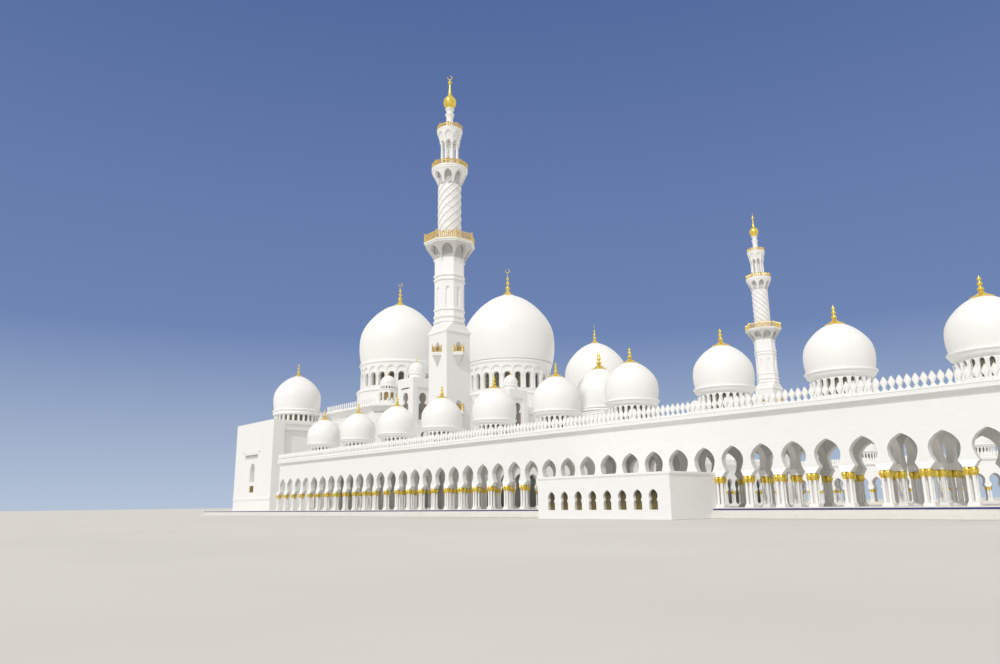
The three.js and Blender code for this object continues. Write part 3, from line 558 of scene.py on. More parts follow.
def pier_row(g, spots, base, turn=0.0):
    if turn:
        base = Geo().add(base, turn=turn)
    for x, y in spots:
        g.add(base, shift=(x, y, 0))


# -------------------------------------------------------------------- arcades
def edges(a, b):
    return [ARCH0 + (k + 0.5) * BAY for k in range(a - 1, b + 1)]


yo = ARC_S + ARC_T / 2
yi = ARC_N - ARC_T / 2

outer = Geo().comb(ARCH_N, WALL_TOP + 0.1, along_x(ARCH0, BAY, ARC_S, ARC_S + ARC_T), range(FIRST, LAST + 1), WHITE, True)
both("arcade_wall", outer, ["arcade_west", "arcade_mid_west", "arcade_mid_east", "arcade_east"])
court = Geo().comb(ARCH_N, WALL_TOP + 0.1, along_x(ARCH0, BAY, ARC_N - ARC_T, ARC_N), range(0, LAST + 1), WHITE, True)
both("court_wall", court, ["court_arcade_west", "court_arcade_middle", "court_arcade_east"])
rear = Geo()
rear.box(ARCH0 + (FIRST - 0.5) * BAY, ARCH0 - 0.5 * BAY, ARC_N - 0.9, ARC_N, FLOOR, WALL_TOP + 0.1, WHITE)
# plinth course and a raised panel in every second bay
rear.box(ARCH0 + (FIRST - 0.5) * BAY, ARCH0 - 0.5 * BAY, ARC_N - 1.0, ARC_N - 0.88, FLOOR, 1.9, TRIM)
for k in range(FIRST, 0, 2):
    c = ARCH0 + k * BAY
    rear.box(c - 1.3, c + 1.3, ARC_N - 0.97, ARC_N - 0.88, 2.6, 8.6, TRIM, 0.04)
both("back_wall_face", rear, ["back_wall"])

# cross arches, three bays from the outer wall to the courtyard wall
CP = [yo, 90.2, 94.4, yi]
cross = Geo()
cross_spots = []
for kc in range(-8, LAST + 1, 4):
    for c in (kc - 1.5, kc + 1.5):
        x = ARCH0 + c * BAY
        for a, b in zip(CP, CP[1:]):
            w = (b - a) / 2
            half = [(min(0.97, h / w), z) for h, z in ARCH]
            cross.comb(half, WALL_TOP + 0.2, along_y((a + b) / 2, b - a, x + 0.42, x - 0.42), [0], WHITE)
        cross_spots += [(x, y) for y in CP[1:3]]

piers = Geo()
pier_row(piers, [(x, yo - BACK) for x in edges(FIRST, LAST)], FINE)
piece("south_outer_columns", piers)
inner = Geo()
pier_row(inner, [(x, yi) for x in edges(0, LAST)], COARSE)
pier_row(inner, cross_spots, COARSE, pi / 2)
piece("south_inner_columns", inner)
far = Geo()
far.add(inner)
pier_row(far, [(x, yo - BACK) for x in edges(FIRST, LAST)], FAR)
piece("north_columns", far, mirror=True)


# merlons: diamond leaf on a narrow waist and a flared foot
LEAF = [
    (0.39, 0), (0.39, 0.1), (0.29, 0.18), (0.18, 0.3), (0.125, 0.42), (0.13, 0.5), (0.185, 0.64),
    (0.28, 0.82), (0.35, 0.96), (0.365, 1.04), (0.315, 1.18), (0.2, 1.4), (0.095, 1.58), (0, 1.72),
]


def merlon(fine):
    """Strips between the two sides keep the waist; the fine one has an engraved inner outline."""
    pts, f, rows = [], [], []
    T, e = 0.15, 0.035
    for x, z in LEAF if fine else LEAF[::2] + LEAF[-1:]:
        i = len(pts)
        if fine:
            a, b, c = max(0.0, x - 0.05), max(0.0, x - 0.085), max(0.0, x - 0.13)
            d = 0.045 if x > 0.16 else 0.0
            pts += [(-x, -T + e, z), (-a, -T, z), (-b, -T + d, z), (-c, -T - 0.01, z), (0, -T - 0.03, z)]
            pts += [(c, -T - 0.01, z), (b, -T + d, z), (a, -T, z), (x, -T + e, z)]
        else:
            pts += [(-x, -T, z), (x, -T, z)]
        pts += [(x, T, z), (-x, T, z)]
        rows.append(list(range(i, len(pts))))
    m = len(rows[0])
    for a, b in zip(rows, rows[1:]):
        f += [(a[i], a[(i + 1) % m], b[(i + 1) % m], b[i]) for i in range(m)]
    f.append(tuple(rows[0][::-1]))
    return Geo().faces(pts, f, TRIM)


MERLON, MERLON_PLAIN = merlon(True), merlon(False)
MSTEP = BAY / 5
x0 = ARCH0 + (FIRST - 0.5) * BAY
x1 = ARCH0 + (LAST + 0.5) * BAY


def merlon_row(g, a, b, y, turn=0.0, shape=MERLON_PLAIN):
    n = round((b - a) / MSTEP)
    st = (b - a) / n
    m = Geo().add(shape, turn=turn)
    for i in range(n):
        c = a + (i + 0.5) * st
        g.add(m, shift=(c, y, PARAPET_Z) if abs(turn) < 0.1 or abs(turn) > 3 else (y, c, PARAPET_Z))


roof = Geo()
section = [
    (ARC_S + 0.02, WALL_TOP), (ARC_S - 0.06, 12.38), (ARC_S - 0.06, 12.6), (ARC_S - 0.2, 12.7), (ARC_S - 0.2, 12.84), (85.32, 12.92),
    (85.32, 13.36), (85.26, 13.4), (85.26, PARAPET_Z), (86.05, PARAPET_Z), (86.05, SLAB_Z),
    (ARC_N - 0.1, SLAB_Z), (ARC_N - 0.1, PARAPET_Z), (ARC_N + 0.64, PARAPET_Z), (ARC_N + 0.64, 13.4), (ARC_N + 0.58, 13.36),
    (ARC_N + 0.58, 12.92), (ARC_N + 0.2, 12.84), (ARC_N + 0.2, 12.7), (ARC_N + 0.06, 12.6), (ARC_N + 0.06, 12.38), (ARC_N - 0.02, WALL_TOP),
]
roof.prism(section, "yz", x0, x1, WHITE)
# a thin bead under the merlons
roof.box(x0, x1, 85.3, 85.9, PARAPET_Z, PARAPET_Z + 0.07, TRIM)
merlon_row(roof, x0, x1, 85.56, 0.0, MERLON)
merlon_row(roof, ARCH0 - 0.5 * BAY + 5, x1, ARC_N + 0.3, pi)
roof.add(cross)
both("arcade_cornice", roof, ["arcade_roof_west", "arcade_roof_middle", "arcade_roof_east"])


# ------------------------------------------------------------ domes and drums
def dome_profile(r, ring, apex, n=30):
    """Bulbous dome over its ring: [radius, z] from the ring to the tip."""
    shape = [
        (0.945, 0), (0.968, 0.07), (0.99, 0.16), (1.0, 0.27), (0.992, 0.38), (0.955, 0.49), (0.871, 0.6),
        (0.739, 0.71), (0.583, 0.81), (0.385, 0.9), (0.196, 0.955), (0, 1.0),
    ]
    kr, kz = [a for a, _ in shape], [b for _, b in shape]
    m = len(shape)

    def spline(u, y):
        i = min(int(u * (m - 1)), m - 2)
        w = u * (m - 1) - i
        p = [y[max(i - 1, 0)], y[i], y[i + 1], y[min(i + 2, m - 1)]]
        return 0.5 * ((2 * p[1]) + (-p[0] + p[2]) * w + (2 * p[0] - 5 * p[1] + 4 * p[2] - p[3]) * w * w + (-p[0] + 3 * p[1] - 3 * p[2] + p[3]) * w**3)

    out = [(max(0.0, spline(u, kr)) * r, ring + spline(u, kz) * (apex - ring)) for u in np.linspace(0, 1, n)]
    out[-1] = (0, apex)
    return out


def finial(g, x, y, dome, h, skirt, n=16, body=None):
    """Flared skirt that lies on the dome's profile, three diminishing balls and a spike."""
    apex = dome[-1][1]
    dr, dz = [q[0] for q in dome[::-1]], [q[1] for q in dome[::-1]]
    on = lambda q: float(np.interp(q, dr, dz))
    z = lambda t: apex + t * h
    k = skirt / 0.9
    b = body or skirt * 0.42
    p = [(skirt, on(skirt) + 0.02), (skirt * 1.02, on(skirt) + 0.1 * k), (skirt * 0.95, on(skirt) + 0.15 * k)]
    p += [(skirt * 0.7, on(skirt * 0.7) + 0.13 * k), (b * 1.35, apex + 0.02 * h), (b * 1.0, z(0.05)), (b * 0.72, z(0.11)), (b * 0.5, z(0.17))]

    def ball(c, q, neck):
        for a in np.linspace(-0.8, 0.8, 7):
            p.append((q * math.cos(a * pi / 2) + neck * 0.3, z(c) + min(q, 0.1 * h) * math.sin(a * pi / 2)))

    ball(0.27, b * 0.8, b * 0.3)
    p.append((b * 0.3, z(0.4)))
    ball(0.53, b * 0.62, b * 0.26)
    p.append((b * 0.22, z(0.66)))
    ball(0.76, b * 0.48, b * 0.2)
    p.append((b * 0.16, z(0.88)))
    p.append((0, z(1)))
    g.lathe([(0, p[0][1])] + p, n, x, y, GOLD)


# arcade domes: round drum with windows, double ring and dome
dome_parts = Geo()
drum_parts = Geo()
gold_parts = Geo()
N_ = 24
for j in range(10):
    x = DOME_X0 + j * DOME_STEP
    d = Geo()
    d.lathe([(0, 13.0), (3.95, 13.0), (3.95, 13.35), (3.8, 13.42), (3.8, 14.3), (3.72, 14.42), (3.3, 14.42)], 48, x, DOME_Y, TRIM)
    d.comb(arch_top(0.56, 14.42, 16.5, 0.36, 5), 16.72, round_map(x, DOME_Y, N_, 3.6, 3.2), range(N_), TRIM)
    # slim columns before the piers
    for k in range(N_):
        a = (k + 0.5) * 2 * pi / N_
        d.lathe([(0.11, 14.42), (0.095, 14.5), (0.09, 16.02), (0.15, 16.22), (0.15, 16.3)], 6, x + 3.64 * math.cos(a), DOME_Y + 3.64 * math.sin(a), TRIM)
    d.lathe([(3.2, 16.6), (3.64, 16.6), (3.72, 16.7), (3.88, 16.8), (3.95, 16.88), (4.02, 17.0), (4.1, 17.2), (4.14, 17.28), (4.24, 17.3), (4.28, 17.4), (4.24, 17.5), (4.1, 17.54), (0, 17.54)], 64, x, DOME_Y, TRIM)
    drum_parts.add(d)
    drum_parts.lathe([(3.24, 14.3), (3.24, 16.7)], 48, x, DOME_Y, OLIVE)
    pr = dome_profile(4.18, 17.5, 23.98, 26)
    dome_parts.lathe([(0, 17.5)] + pr, 72, x, DOME_Y, DOME)
    finial(gold_parts, x, DOME_Y, pr, 2.35, 1.2, 16, 0.4)
both("row_drums", drum_parts, [])
both("row_domes", dome_parts, [])
both("row_finials", gold_parts, [])


# ------------------------------------------------------------ great domes
def great(x, y, r, ring, apex, z_base, sill, head, drum_r, lip_r, base_r, base_top, w, fin_h, skirt):
    """One of the three great domes: base, window storey, blind arches, ring and dome."""
    n = 24
    dr, dm, gd = Geo(), Geo(), Geo()
    k = r / 12.2
    # base drum that stands on the roof
    dr.lathe([(base_r - 1.2, z_base), (base_r, z_base), (base_r, base_top - 0.9), (base_r + 0.25, base_top - 0.8), (base_r + 0.25, base_top - 0.35), (base_r - 0.1, base_top), (drum_r - 1.3, base_top + 0.1)], 96, x, y, WHITE)
    # plinth of the window storey
    dr.lathe([(drum_r - 1.35, base_top), (drum_r + 0.18, base_top), (drum_r + 0.18, sill - 0.5), (drum_r + 0.32, sill - 0.4), (drum_r + 0.32, sill - 0.15), (drum_r + 0.05, sill), (drum_r - 1.35, sill)], 96, x, y, TRIM)
    # window storey: deep arched bays, each with a set-back frame
    rise = 2 * pi * drum_r / n / 2 * w * 0.95
    dr.comb(arch_top(w, sill, head, rise, 8, 0.05), head + 0.25 * k, round_map(x, y, n, drum_r, drum_r - 1.3), range(n), TRIM)
    dr.comb(arch_top(w * 0.86, sill, head - 0.16 * k, rise * 0.86, 8, 0.05), head + 0.2, round_map(x, y, n, drum_r - 0.28, drum_r - 1.3), range(n), TRIM)
    dr.lathe([(drum_r - 1.22, sill - 0.1), (drum_r - 1.22, head + 0.2)], 96, x, y, OLIVE)
    # slim columns between the windows
    for q in range(n):
        for off in (-0.042, 0.042):
            a = (q + 0.5) * 2 * pi / n + off * 7.3 * k / drum_r
            t = 0.15 * k
            col = [(t * 1.5, sill), (t * 1.4, sill + 0.25), (t, sill + 0.35), (t * 0.92, head - rise - 0.5), (t * 1.2, head - rise - 0.4), (t * 1.6, head - rise), (t * 1.6, head - rise + 0.12)]
            dr.lathe(col, 8, x + (drum_r + 0.05) * math.cos(a), y + (drum_r + 0.05) * math.sin(a), TRIM)
    # dark mullion and transoms of each window
    for q in range(n):
        a0 = q * 2 * pi / n
        R = drum_r - 1.2
        for a, z0, z1, e in [(a0, sill, head - 0.3 * k, 0.04 * k / R)] + [(a0, sill + (head - sill) * i / 4 - 0.04, sill + (head - sill) * i / 4 + 0.04, 0.42 * w * 2 * pi / n) for i in (1, 2, 3)]:
            p = [(x + (R + v) * math.cos(a + b), y + (R + v) * math.sin(a + b), z) for z in (z0, z1) for b, v in ((-e, 0), (e, 0), (e, 0.07), (-e, 0.07))]
            dr.faces(p, [(0, 1, 5, 4), (1, 2, 6, 5), (2, 3, 7, 6), (3, 0, 4, 7), (4, 5, 6, 7), (3, 2, 1, 0)], BRONZE)
    # blind pointed arches that flare out to the ring, one over each window
    zb, zt = head + 0.12 * k, ring - 1.75 * k
    rise2 = (zt - zb) * 0.85
    flare = lambda z: max(0.0, (z - zb) / (ring - 1.0 * k - zb)) ** 1.5
    band = [(0.92, zb), (0.9, zt - rise2 * 0.82), (0.84, zt - rise2 * 0.6), (0.72, zt - rise2 * 0.38), (0.53, zt - rise2 * 0.2), (0.28, zt - rise2 * 0.07), (0, zt)]
    dr.comb(band, ring - 0.9 * k, round_map(x, y, n, lambda z: drum_r + 0.14 + (lip_r - 0.25 * k - drum_r - 0.14) * flare(z), drum_r - 0.05), range(n), TRIM)
    band2 = [(h * 0.72, zb + (z - zb) * 0.74) for h, z in band]
    dr.comb(band2, ring - 0.9 * k, round_map(x, y, n, lambda z: drum_r - 0.06 + (lip_r - 0.55 * k - drum_r) * flare(z), drum_r - 0.3), range(n), TRIM)
    dr.lathe([(drum_r - 0.2, head - 0.1), (drum_r - 0.12, ring)], 96, x, y, TRIM)
    # small drops between the blind arches
    for q in range(n):
        a = (q + 0.5) * 2 * pi / n
        t = 0.13 * k
        dr.lathe([(0, zb - 2.6 * t), (t * 0.7, zb - 2.0 * t), (t, zb - t), (t * 0.6, zb), (0, zb + 0.1)], 8, x + (drum_r + 0.2) * math.cos(a), y + (drum_r + 0.2) * math.sin(a), TRIM)
    # one thick rounded ring
    dr.lathe([(0, ring - 1.05 * k), (drum_r, ring - 1.05 * k), (lip_r - 0.28 * k, ring - 1.0 * k), (lip_r - 0.14 * k, ring - 0.9 * k), (lip_r, ring - 0.62 * k), (lip_r + 0.02 * k, ring - 0.4 * k), (lip_r - 0.08 * k, ring - 0.18 * k), (lip_r - 0.3 * k, ring - 0.04 * k), (r * 0.93, ring + 0.02), (0, ring + 0.02)], 128, x, y, TRIM)
    pr = dome_profile(r, ring - 0.1, apex, 48)
    dm.lathe([(0, ring - 0.1)] + pr, 128, x, y, DOME)
    finial(gd, x, y, pr, fin_h, skirt, 24)
    return dr, dm, gd


def crescent(g, x, y, z, r, mat=GOLD):
    """A nearly closed crescent, its horns up, across the line to the south-east corner."""
    pts, f = [], []
    n = 24
    dx, dy = 0.66, 0.75
    rows = []
    for i in range(n + 1):
        t = -pi / 2 + 0.55 - 2.75 + 5.5 * i / n
        w = 0.2 * r * max(0.0, math.cos((i / n - 0.5) * pi)) ** 0.7 + 0.02
        row = []
        for a, b in ((-w, 0), (0, -w * 0.7), (w, 0), (0, w * 0.7)):
            q = r + a
            u, zz = q * math.cos(t), z + q * math.sin(t)
            row.append(len(pts))
            pts.append((x + u * dx - b * dy, y + u * dy + b * dx, zz))
        rows.append(row)
    for a, b in zip(rows, rows[1:]):
        for i in range(4):
            k = (i + 1) % 4
            f.append((a[i], a[k], b[k], b[i]))
    f += [tuple(rows[0][::-1]), tuple(rows[-1])]
    g.faces(pts, f, mat)


dr, dm, gd = great(MAIN_X, YC - SIDE_DOME, 12.2, 44.4, 64.2, HALL_Z, 36.9, 40.9, 11.45, 12.05, 12.5, 36.0, 0.68, 5.65, 1.75)
crescent(gd, MAIN_X, YC - SIDE_DOME, 70.65, 0.55)
both("dome_drum", dr, ["hall_drum"])
both("great_dome", dm, ["hall_dome"])
both("great_finial", gd, ["hall_finial"])
dr, dm, gd = great(MAIN_X, YC, 16.15, 49.65, 75.75, HALL_Z, 39.8, 45.35, 14.3, 15.1, 16.3, 38.4, 0.62, 7.55, 2.1)
crescent(gd, MAIN_X, YC, 84.45, 0.72)
piece("central_drum", dr, ["main_drum"])
piece("central_dome", dm, ["main_dome"])
piece("central_finial", gd, ["main_finial"])


# ------------------------------------------------------------------ minarets
def drops(g, x, y, phase, r, z, t):
    """Eight small pendants at the feet of a gallery's ribs."""
    for q in range(8):
        a = phase + q * pi / 4
        g.lathe([(0, z), (t * 0.7, z + 0.5 * t), (t, z + 1.5 * t), (t * 0.8, z + 2.7 * t), (0, z + 3.2 * t)], 8, x + r * math.cos(a), y + r * math.sin(a), TRIM)


def minaret():
    x, y, h = MIN_X, MIN_Y, MIN_W / 2
    o8 = pi / 8
    g = Geo()
    # square base with a moulded top
    g.box(x - h, x + h, y - h, y + h, FLOOR, 40.4, WHITE)
    p = [(h + 0.01, 40.05), (h + 0.2, 40.3), (h + 0.22, 40.5), (h + 0.22, 40.66), (h + 0.05, 40.78), (h + 0.05, 40.9)]
    r2 = math.sqrt(2)
    g.lathe([(0, 40.05)] + [(r * r2, z) for r, z in p] + [(0, 40.9)], 4, x, y, TRIM, pi / 4)
    # broach from the square to the octagon
    a = 3.34
    t = a * math.tan(pi / 8)
    sq = [(h, -h), (h, h), (-h, h), (-h, -h)]
    oc = []
    for q in range(4):
        c, s = [(1, 0), (0, 1), (-1, 0), (0, -1)][q]
        for v in (-t, t):
            oc.append((c * a - s * v, s * a + c * v))
    pts = [(x + u, y + v, 40.88) for u, v in sq] + [(x + u * 0.985, y + v * 0.985, 42.7) for u, v in oc]
    f = []
    for q in range(4):
        s0, s1 = (q) % 4, (q + 1) % 4
        o0, o1 = 4 + 2 * q, 4 + 2 * q + 1
        f.append((s0, s1, o1, o0))
        f.append((s1, 4 + (2 * q + 2) % 8, o1))
    f.append((3, 2, 1, 0))
    f.append(tuple(range(4, 12)))
    g.faces(pts, f, TRIM)
    k8 = 1 / math.cos(pi / 8)
    R = 3.3

    def octo(prof, mat=TRIM):
        g.lathe([(0, prof[0][1])] + [(r * k8, z) for r, z in prof] + [(0, prof[-1][1])], 8, x, y, mat, o8)

    octo([
        (R, 42.6), (R + 0.2, 42.7), (R + 0.25, 42.9), (R + 0.2, 43.12), (R + 0.02, 43.2), (R, 43.7), (R + 0.02, 43.82), (R + 0.2, 43.9), (R + 0.25, 44.1), (R + 0.2, 44.32), (R + 0.02, 44.42),
        (R, 44.5), (R, 45.5), (R + 0.17, 45.6), (R + 0.22, 45.78), (R + 0.18, 45.96), (R + 0.02, 46.06), (R - 0.02, 46.16),
    ])
    # storey with blind niches
    octo([(R - 0.28, 46.1), (R - 0.28, 52.3)])
    g.comb(arch_top(0.36, 46.5, 51.2, 0.75, 8), 52.19, poly_map(x, y, 8, R, R - 0.28), range(8), TRIM)
    octo([(R, 46.1), (R, 46.5)])
    octo([
        (R, 52.2), (R, 52.5), (R + 0.02, 52.68), (R + 0.2, 52.76), (R + 0.25, 52.95), (R + 0.2, 53.15), (R + 0.02, 53.25), (R + 0.02, 53.68), (R + 0.2, 53.76), (R + 0.26, 53.95), (R + 0.2, 54.15), (R + 0.02, 54.25),
        (R, 54.35), (R, 60.4),
    ])
    # lower gallery: ribs that flare out over pointed niches, in the darker marble as painted shade
    fl = lambda z: 3.32 + 2.02 * max(0.0, (z - 57.9) / 3.3) ** 1.1
    rib = [(0.82, 57.92), (0.82, 58.4), (0.81, 58.9), (0.79, 59.35), (0.74, 59.8), (0.64, 60.22), (0.48, 60.6), (0.26, 60.9), (0, 61.06)]
    g.comb(rib, 61.4, poly_map(x, y, 8, fl, lambda z: min(fl(z), max(3.3, fl(z) - 0.85))), range(8), SHADE_MARBLE)
    # grey backing behind the niches: painted shade under the slab
    octo([(R, 58.2), (R + 0.02, 59.6), (3.75, 60.5), (4.4, 61.2)], GREY)
    drops(g, x, y, o8, 3.4 * k8, 57.5, 0.2)
    octo([(3.2, 60.95), (4.4, 61.15), (5.3, 61.3), (5.48, 61.45), (5.56, 61.7), (5.7, 61.78), (5.76, 61.88), (5.76, 62.04), (5.68, 62.13), (2.0, 62.15)])
    # round shaft with spiral grooves
    m, rows, starts = 4, 54, 9
    z0_, z1_ = 62.1, 78.2
    rad = [2.82, 2.83, 2.83, 2.7]
    ang = [0.04, 0.06, 0.94, 0.97]
    pts, f, fg = [], [], []
    for i in range(rows + 1):
        z = z0_ + (z1_ - z0_) * i / rows
        tw = (z - z0_) / 2.8
        for s in range(starts):
            for e in range(m):
                a_ = (s + ang[e]) * 2 * pi / starts + tw
                pts.append((x + rad[e] * math.cos(a_), y + rad[e] * math.sin(a_), z))
    n = starts * m
    for i in range(rows):
        for s in range(n):
            k = (s + 1) % n
            (fg if s % m > 1 else f).append((i * n + s, i * n + k, (i + 1) * n + k, (i + 1) * n + s))
    g.faces(pts, f + fg, TRIM)
    # the grooves' faces in grey: painted shade in the grooves
    g.M[-len(fg):] = [GREY] * len(fg)
    # fine cross joints between the grooves
    for s in range(starts):
        for i in range(9):
            z = z0_ + 1.0 + i * 1.75 + (s % 2) * 0.87
            if z > 76.8:
                continue
            pts = []
            for e, dz in ((0.12, 0.45), (0.5, 0.0), (0.88, -0.45)):
                a_ = (s + e) * 2 * pi / starts + (z + dz - z0_) / 2.8
                for t in (-0.03, 0.03):
                    pts.append((x + 2.84 * math.cos(a_), y + 2.84 * math.sin(a_), z + dz + t))
            g.faces(pts, [(0, 2, 3, 1), (2, 4, 5, 3)], GREY)
    # middle gallery
    fm = lambda z: 2.86 + 1.42 * max(0.0, (z - 77.2) / 3.2) ** 1.05
    rib3 = [(0.74, 77.35), (0.75, 77.9), (0.74, 78.4), (0.7, 78.85), (0.6, 79.3), (0.42, 79.7), (0.2, 79.97), (0, 80.1)]
    g.comb(rib3, 80.5, round_map(x, y, 8, fm, lambda z: min(fm(z), max(2.7, fm(z) - 0.75))), range(8), TRIM)
    # grey backing behind the ribs: painted shade
    g.lathe([(2.8, 77.0), (2.8, 79.0), (3.0, 79.7), (3.4, 80.3)], 48, x, y, GREY)
    drops(g, x, y, o8, 2.84, 76.9, 0.14)
    g.lathe([(0, 80.2), (3.2, 80.2), (4.2, 80.38), (4.3, 80.45), (4.3, 80.72), (4.24, 80.8), (4.38, 80.9), (4.38, 81.24), (4.3, 81.34), (0, 81.35)], 48, x, y, TRIM)
    # lantern: eight slim columns round a core
    g.lathe([(0.9, 81.3), (0.9, 88.8)], 16, x, y, TRIM)
    g.lathe([(0, 81.35), (2.4, 81.35), (2.4, 81.95), (2.34, 82.1), (0, 82.12)], 16, x, y, TRIM, pi / 16)
    for q in range(8):
        a_ = q * pi / 4 + o8
        g.lathe([(0.36, 82.1), (0.36, 82.3), (0.28, 82.45), (0.25, 87.6), (0.33, 87.8), (0.42, 88.05), (0.42, 88.2)], 12, x + 1.96 * math.cos(a_), y + 1.96 * math.sin(a_), COLUMN)
    arch = [(0.72, 87.8), (0.7, 88.05), (0.6, 88.25), (0.35, 88.45), (0, 88.55)]
    fu = lambda z: 2.3 + 0.71 * max(0.0, (z - 88.4) / 2.7) ** 1.1
    g.comb(arch, 89.0, poly_map(x, y, 8, fu, 1.5), range(8), TRIM)
    # upper gallery: a flared bowl with pointed niches between its ribs
    nic = [(0.78, 88.9), (0.77, 89.4), (0.72, 89.85), (0.6, 90.2), (0.4, 90.5), (0.18, 90.68), (0, 90.76)]
    g.comb(nic, 91.15, round_map(x, y, 8, lambda z: fu(z) + 0.1, lambda z: fu(z) - 0.22), range(8), TRIM)
    g.lathe([(0, 88.7), (2.1, 88.7), (fu(89.5) - 0.15, 89.5), (fu(90.4) - 0.15, 90.4), (3.0, 91.1), (3.12, 91.2), (3.12, 91.36), (3.06, 91.42), (3.14, 91.5), (3.14, 91.62), (3.04, 91.69), (0, 91.7)], 48, x, y, TRIM)
    drops(g, x, y, o8, 2.42, 88.5, 0.11)
    neck = [(0, 91.6), (1.6, 91.65), (1.5, 92.2), (1.1, 93.1), (0.98, 93.6), (0.86, 94.0), (0.8, 94.8), (0.92, 95.6), (1.1, 95.95), (1.14, 96.1), (1.1, 96.25), (0.85, 96.35), (0.72, 96.6), (0.76, 96.9), (0.98, 97.3), (1.12, 97.5), (1.12, 97.66), (0.9, 97.76), (0, 97.8)]
    g.lathe(neck, 32, x, y, TRIM)
    return g


def balconies():
    """Doors, slabs, corbels and gilded railings on the base's four faces."""
    x, y, h = MIN_X, MIN_Y, MIN_W / 2
    st, gl, dk = Geo(), Geo(), Geo()
    for q in range(4):
        for zb, dp in ((34.9, 2.45), (21.6, 2.1)):
            s, r, d = Geo(), Geo(), Geo()
            w = 1.6
            prow = lambda e, z0_, z1_, mt: s.prism([(-w - e, -h + 0.05), (0, -h - w - e), (w + e, -h + 0.05)], "xy", z0_, z1_, mt)
            # three layers of slab; the thin set-back middle one in the darker marble paints the shadow line between
            # them
            prow(0.02, zb + 0.46, zb + 0.78, TRIM)
            prow(-0.07, zb + 0.38, zb + 0.48, SHADE_MARBLE)
            prow(-0.02, zb + 0.08, zb + 0.4, TRIM)
            # upturned pyramid, in the darker marble as painted shade
            s.faces([(-1.5, -h, zb + 0.09), (0, -h - 1.5, zb + 0.09), (1.5, -h, zb + 0.09), (0, -h - 0.12, zb - dp), (0, -h, zb - dp)], [(0, 1, 2), (0, 3, 1), (1, 3, 2), (2, 3, 4), (0, 4, 3)], SHADE_MARBLE)
            # doorway: dark below, a pale screen under its round head
            arc = [(0.64 * math.cos(t), zb + 2.55 + 0.66 * math.sin(t)) for t in np.linspace(-0.3, pi + 0.3, 12)]
            o = [(-0.56, zb + 0.78), (0.56, zb + 0.78)] + arc
            d.prism(o, "xz", -h - 0.03, -h + 0.1, GLASS)
            d.prism(arc, "xz", -h - 0.05, -h + 0.1, GREY)
            o2 = [(u * 1.22, v if i < 2 else zb + 0.78 + (v - zb - 0.78) * 1.07) for i, (u, v) in enumerate(o)]
            d.prism(o2, "xz", -h - 0.015, -h + 0.1, TRIM)
            # railing of turned balusters along both faces of the prow
            zr = zb + 0.78
            e_ = w - 0.14
            spots = [(sx * e_ * (1 - v), -h - e_ * v) for sx in (-1, 1) for v in np.linspace(0.03, 1, 7)][:-1]
            for u, v in spots:
                post = abs(abs(u) - e_ * 0.97) < 0.01 or abs(u) < 0.01
                k = 1.7 if post else 1.1
                top = 1.75 if post else 1.4
                r.lathe([(0.07 * k, zr), (0.11 * k, zr + 0.25), (0.05 * k, zr + 0.5), (0.1 * k, zr + 0.9), (0.05 * k, zr + 1.1), (0.09 * k, zr + top - 0.15), (0, zr + top)], 6, u, v, RAIL)
            for sx in (-1, 1):
                for za, zc in ((zr + 0.03, zr + 0.13), (zr + 1.14, zr + 1.26)):
                    q4 = [(sx * e_, -h), (0, -h - e_), (0, -h - e_ + 0.12), (sx * (e_ - 0.12), -h)]
                    r.prism(q4 if sx < 0 else q4[::-1], "xy", za, zc, RAIL)
            for src, dst in ((s, st), (r, gl), (d, dk)):
                dst.add(src, turn=q * pi / 2, shift=(x, y, 0))
    return st, gl, dk


def railing(g, x, y, r, z0, z1, round_=False, phase=0.0, posts=8, each=7, fat=1.0):
    """Gilded railing of separate turned posts with pointed tips, on a polygon or a circle."""
    hgt = z1 - z0
    for q in range(posts):
        a0, a1 = phase + q * 2 * pi / posts, phase + (q + 1) * 2 * pi / posts
        p0, p1 = np.array([math.cos(a0), math.sin(a0)]) * r, np.array([math.cos(a1), math.sin(a1)]) * r
        for i in range(each + 1):
            t = i / (each + 1)
            if round_:
                a = a0 + (a1 - a0) * t
                c = np.array([math.cos(a), math.sin(a)]) * r
            else:
                c = p0 + (p1 - p0) * t
            post = i == 0
            k = (1.5 if post else 1.0) * fat
            top = hgt if post else hgt * 0.86
            prof = [(0.11 * k, z0), (0.15 * k, z0 + hgt * 0.14), (0.08 * k, z0 + hgt * 0.28), (0.14 * k, z0 + top * 0.5), (0.08 * k, z0 + top * 0.68), (0.17 * k, z0 + top * 0.8), (0.12 * k, z0 + top * 0.88), (0, z0 + top)]
            g.lathe(prof, 8, x + c[0], y + c[1], RAIL)
        for zz, e in ((z0 + 0.02, 0.08), (z0 + hgt * 0.5, 0.05)):
            m = 6 if round_ else 1
            for i in range(m):
                if round_:
                    b0, b1 = a0 + (a1 - a0) * i / m, a0 + (a1 - a0) * (i + 1) / m
                    q0, q1 = np.array([math.cos(b0), math.sin(b0)]), np.array([math.cos(b1), math.sin(b1)])
                else:
                    q0, q1 = p0 / r, p1 / r
                pts = []
                for d_ in (q0, q1):
                    for rr, dz in ((r - e, 0), (r + e, 0), (r + e, 0.13), (r - e, 0.13)):
                        pts.append((x + d_[0] * rr, y + d_[1] * rr, zz + dz))
                g.faces(pts, [(0, 1, 5, 4), (1, 2, 6, 5), (2, 3, 7, 6), (3, 0, 4, 7)], RAIL)


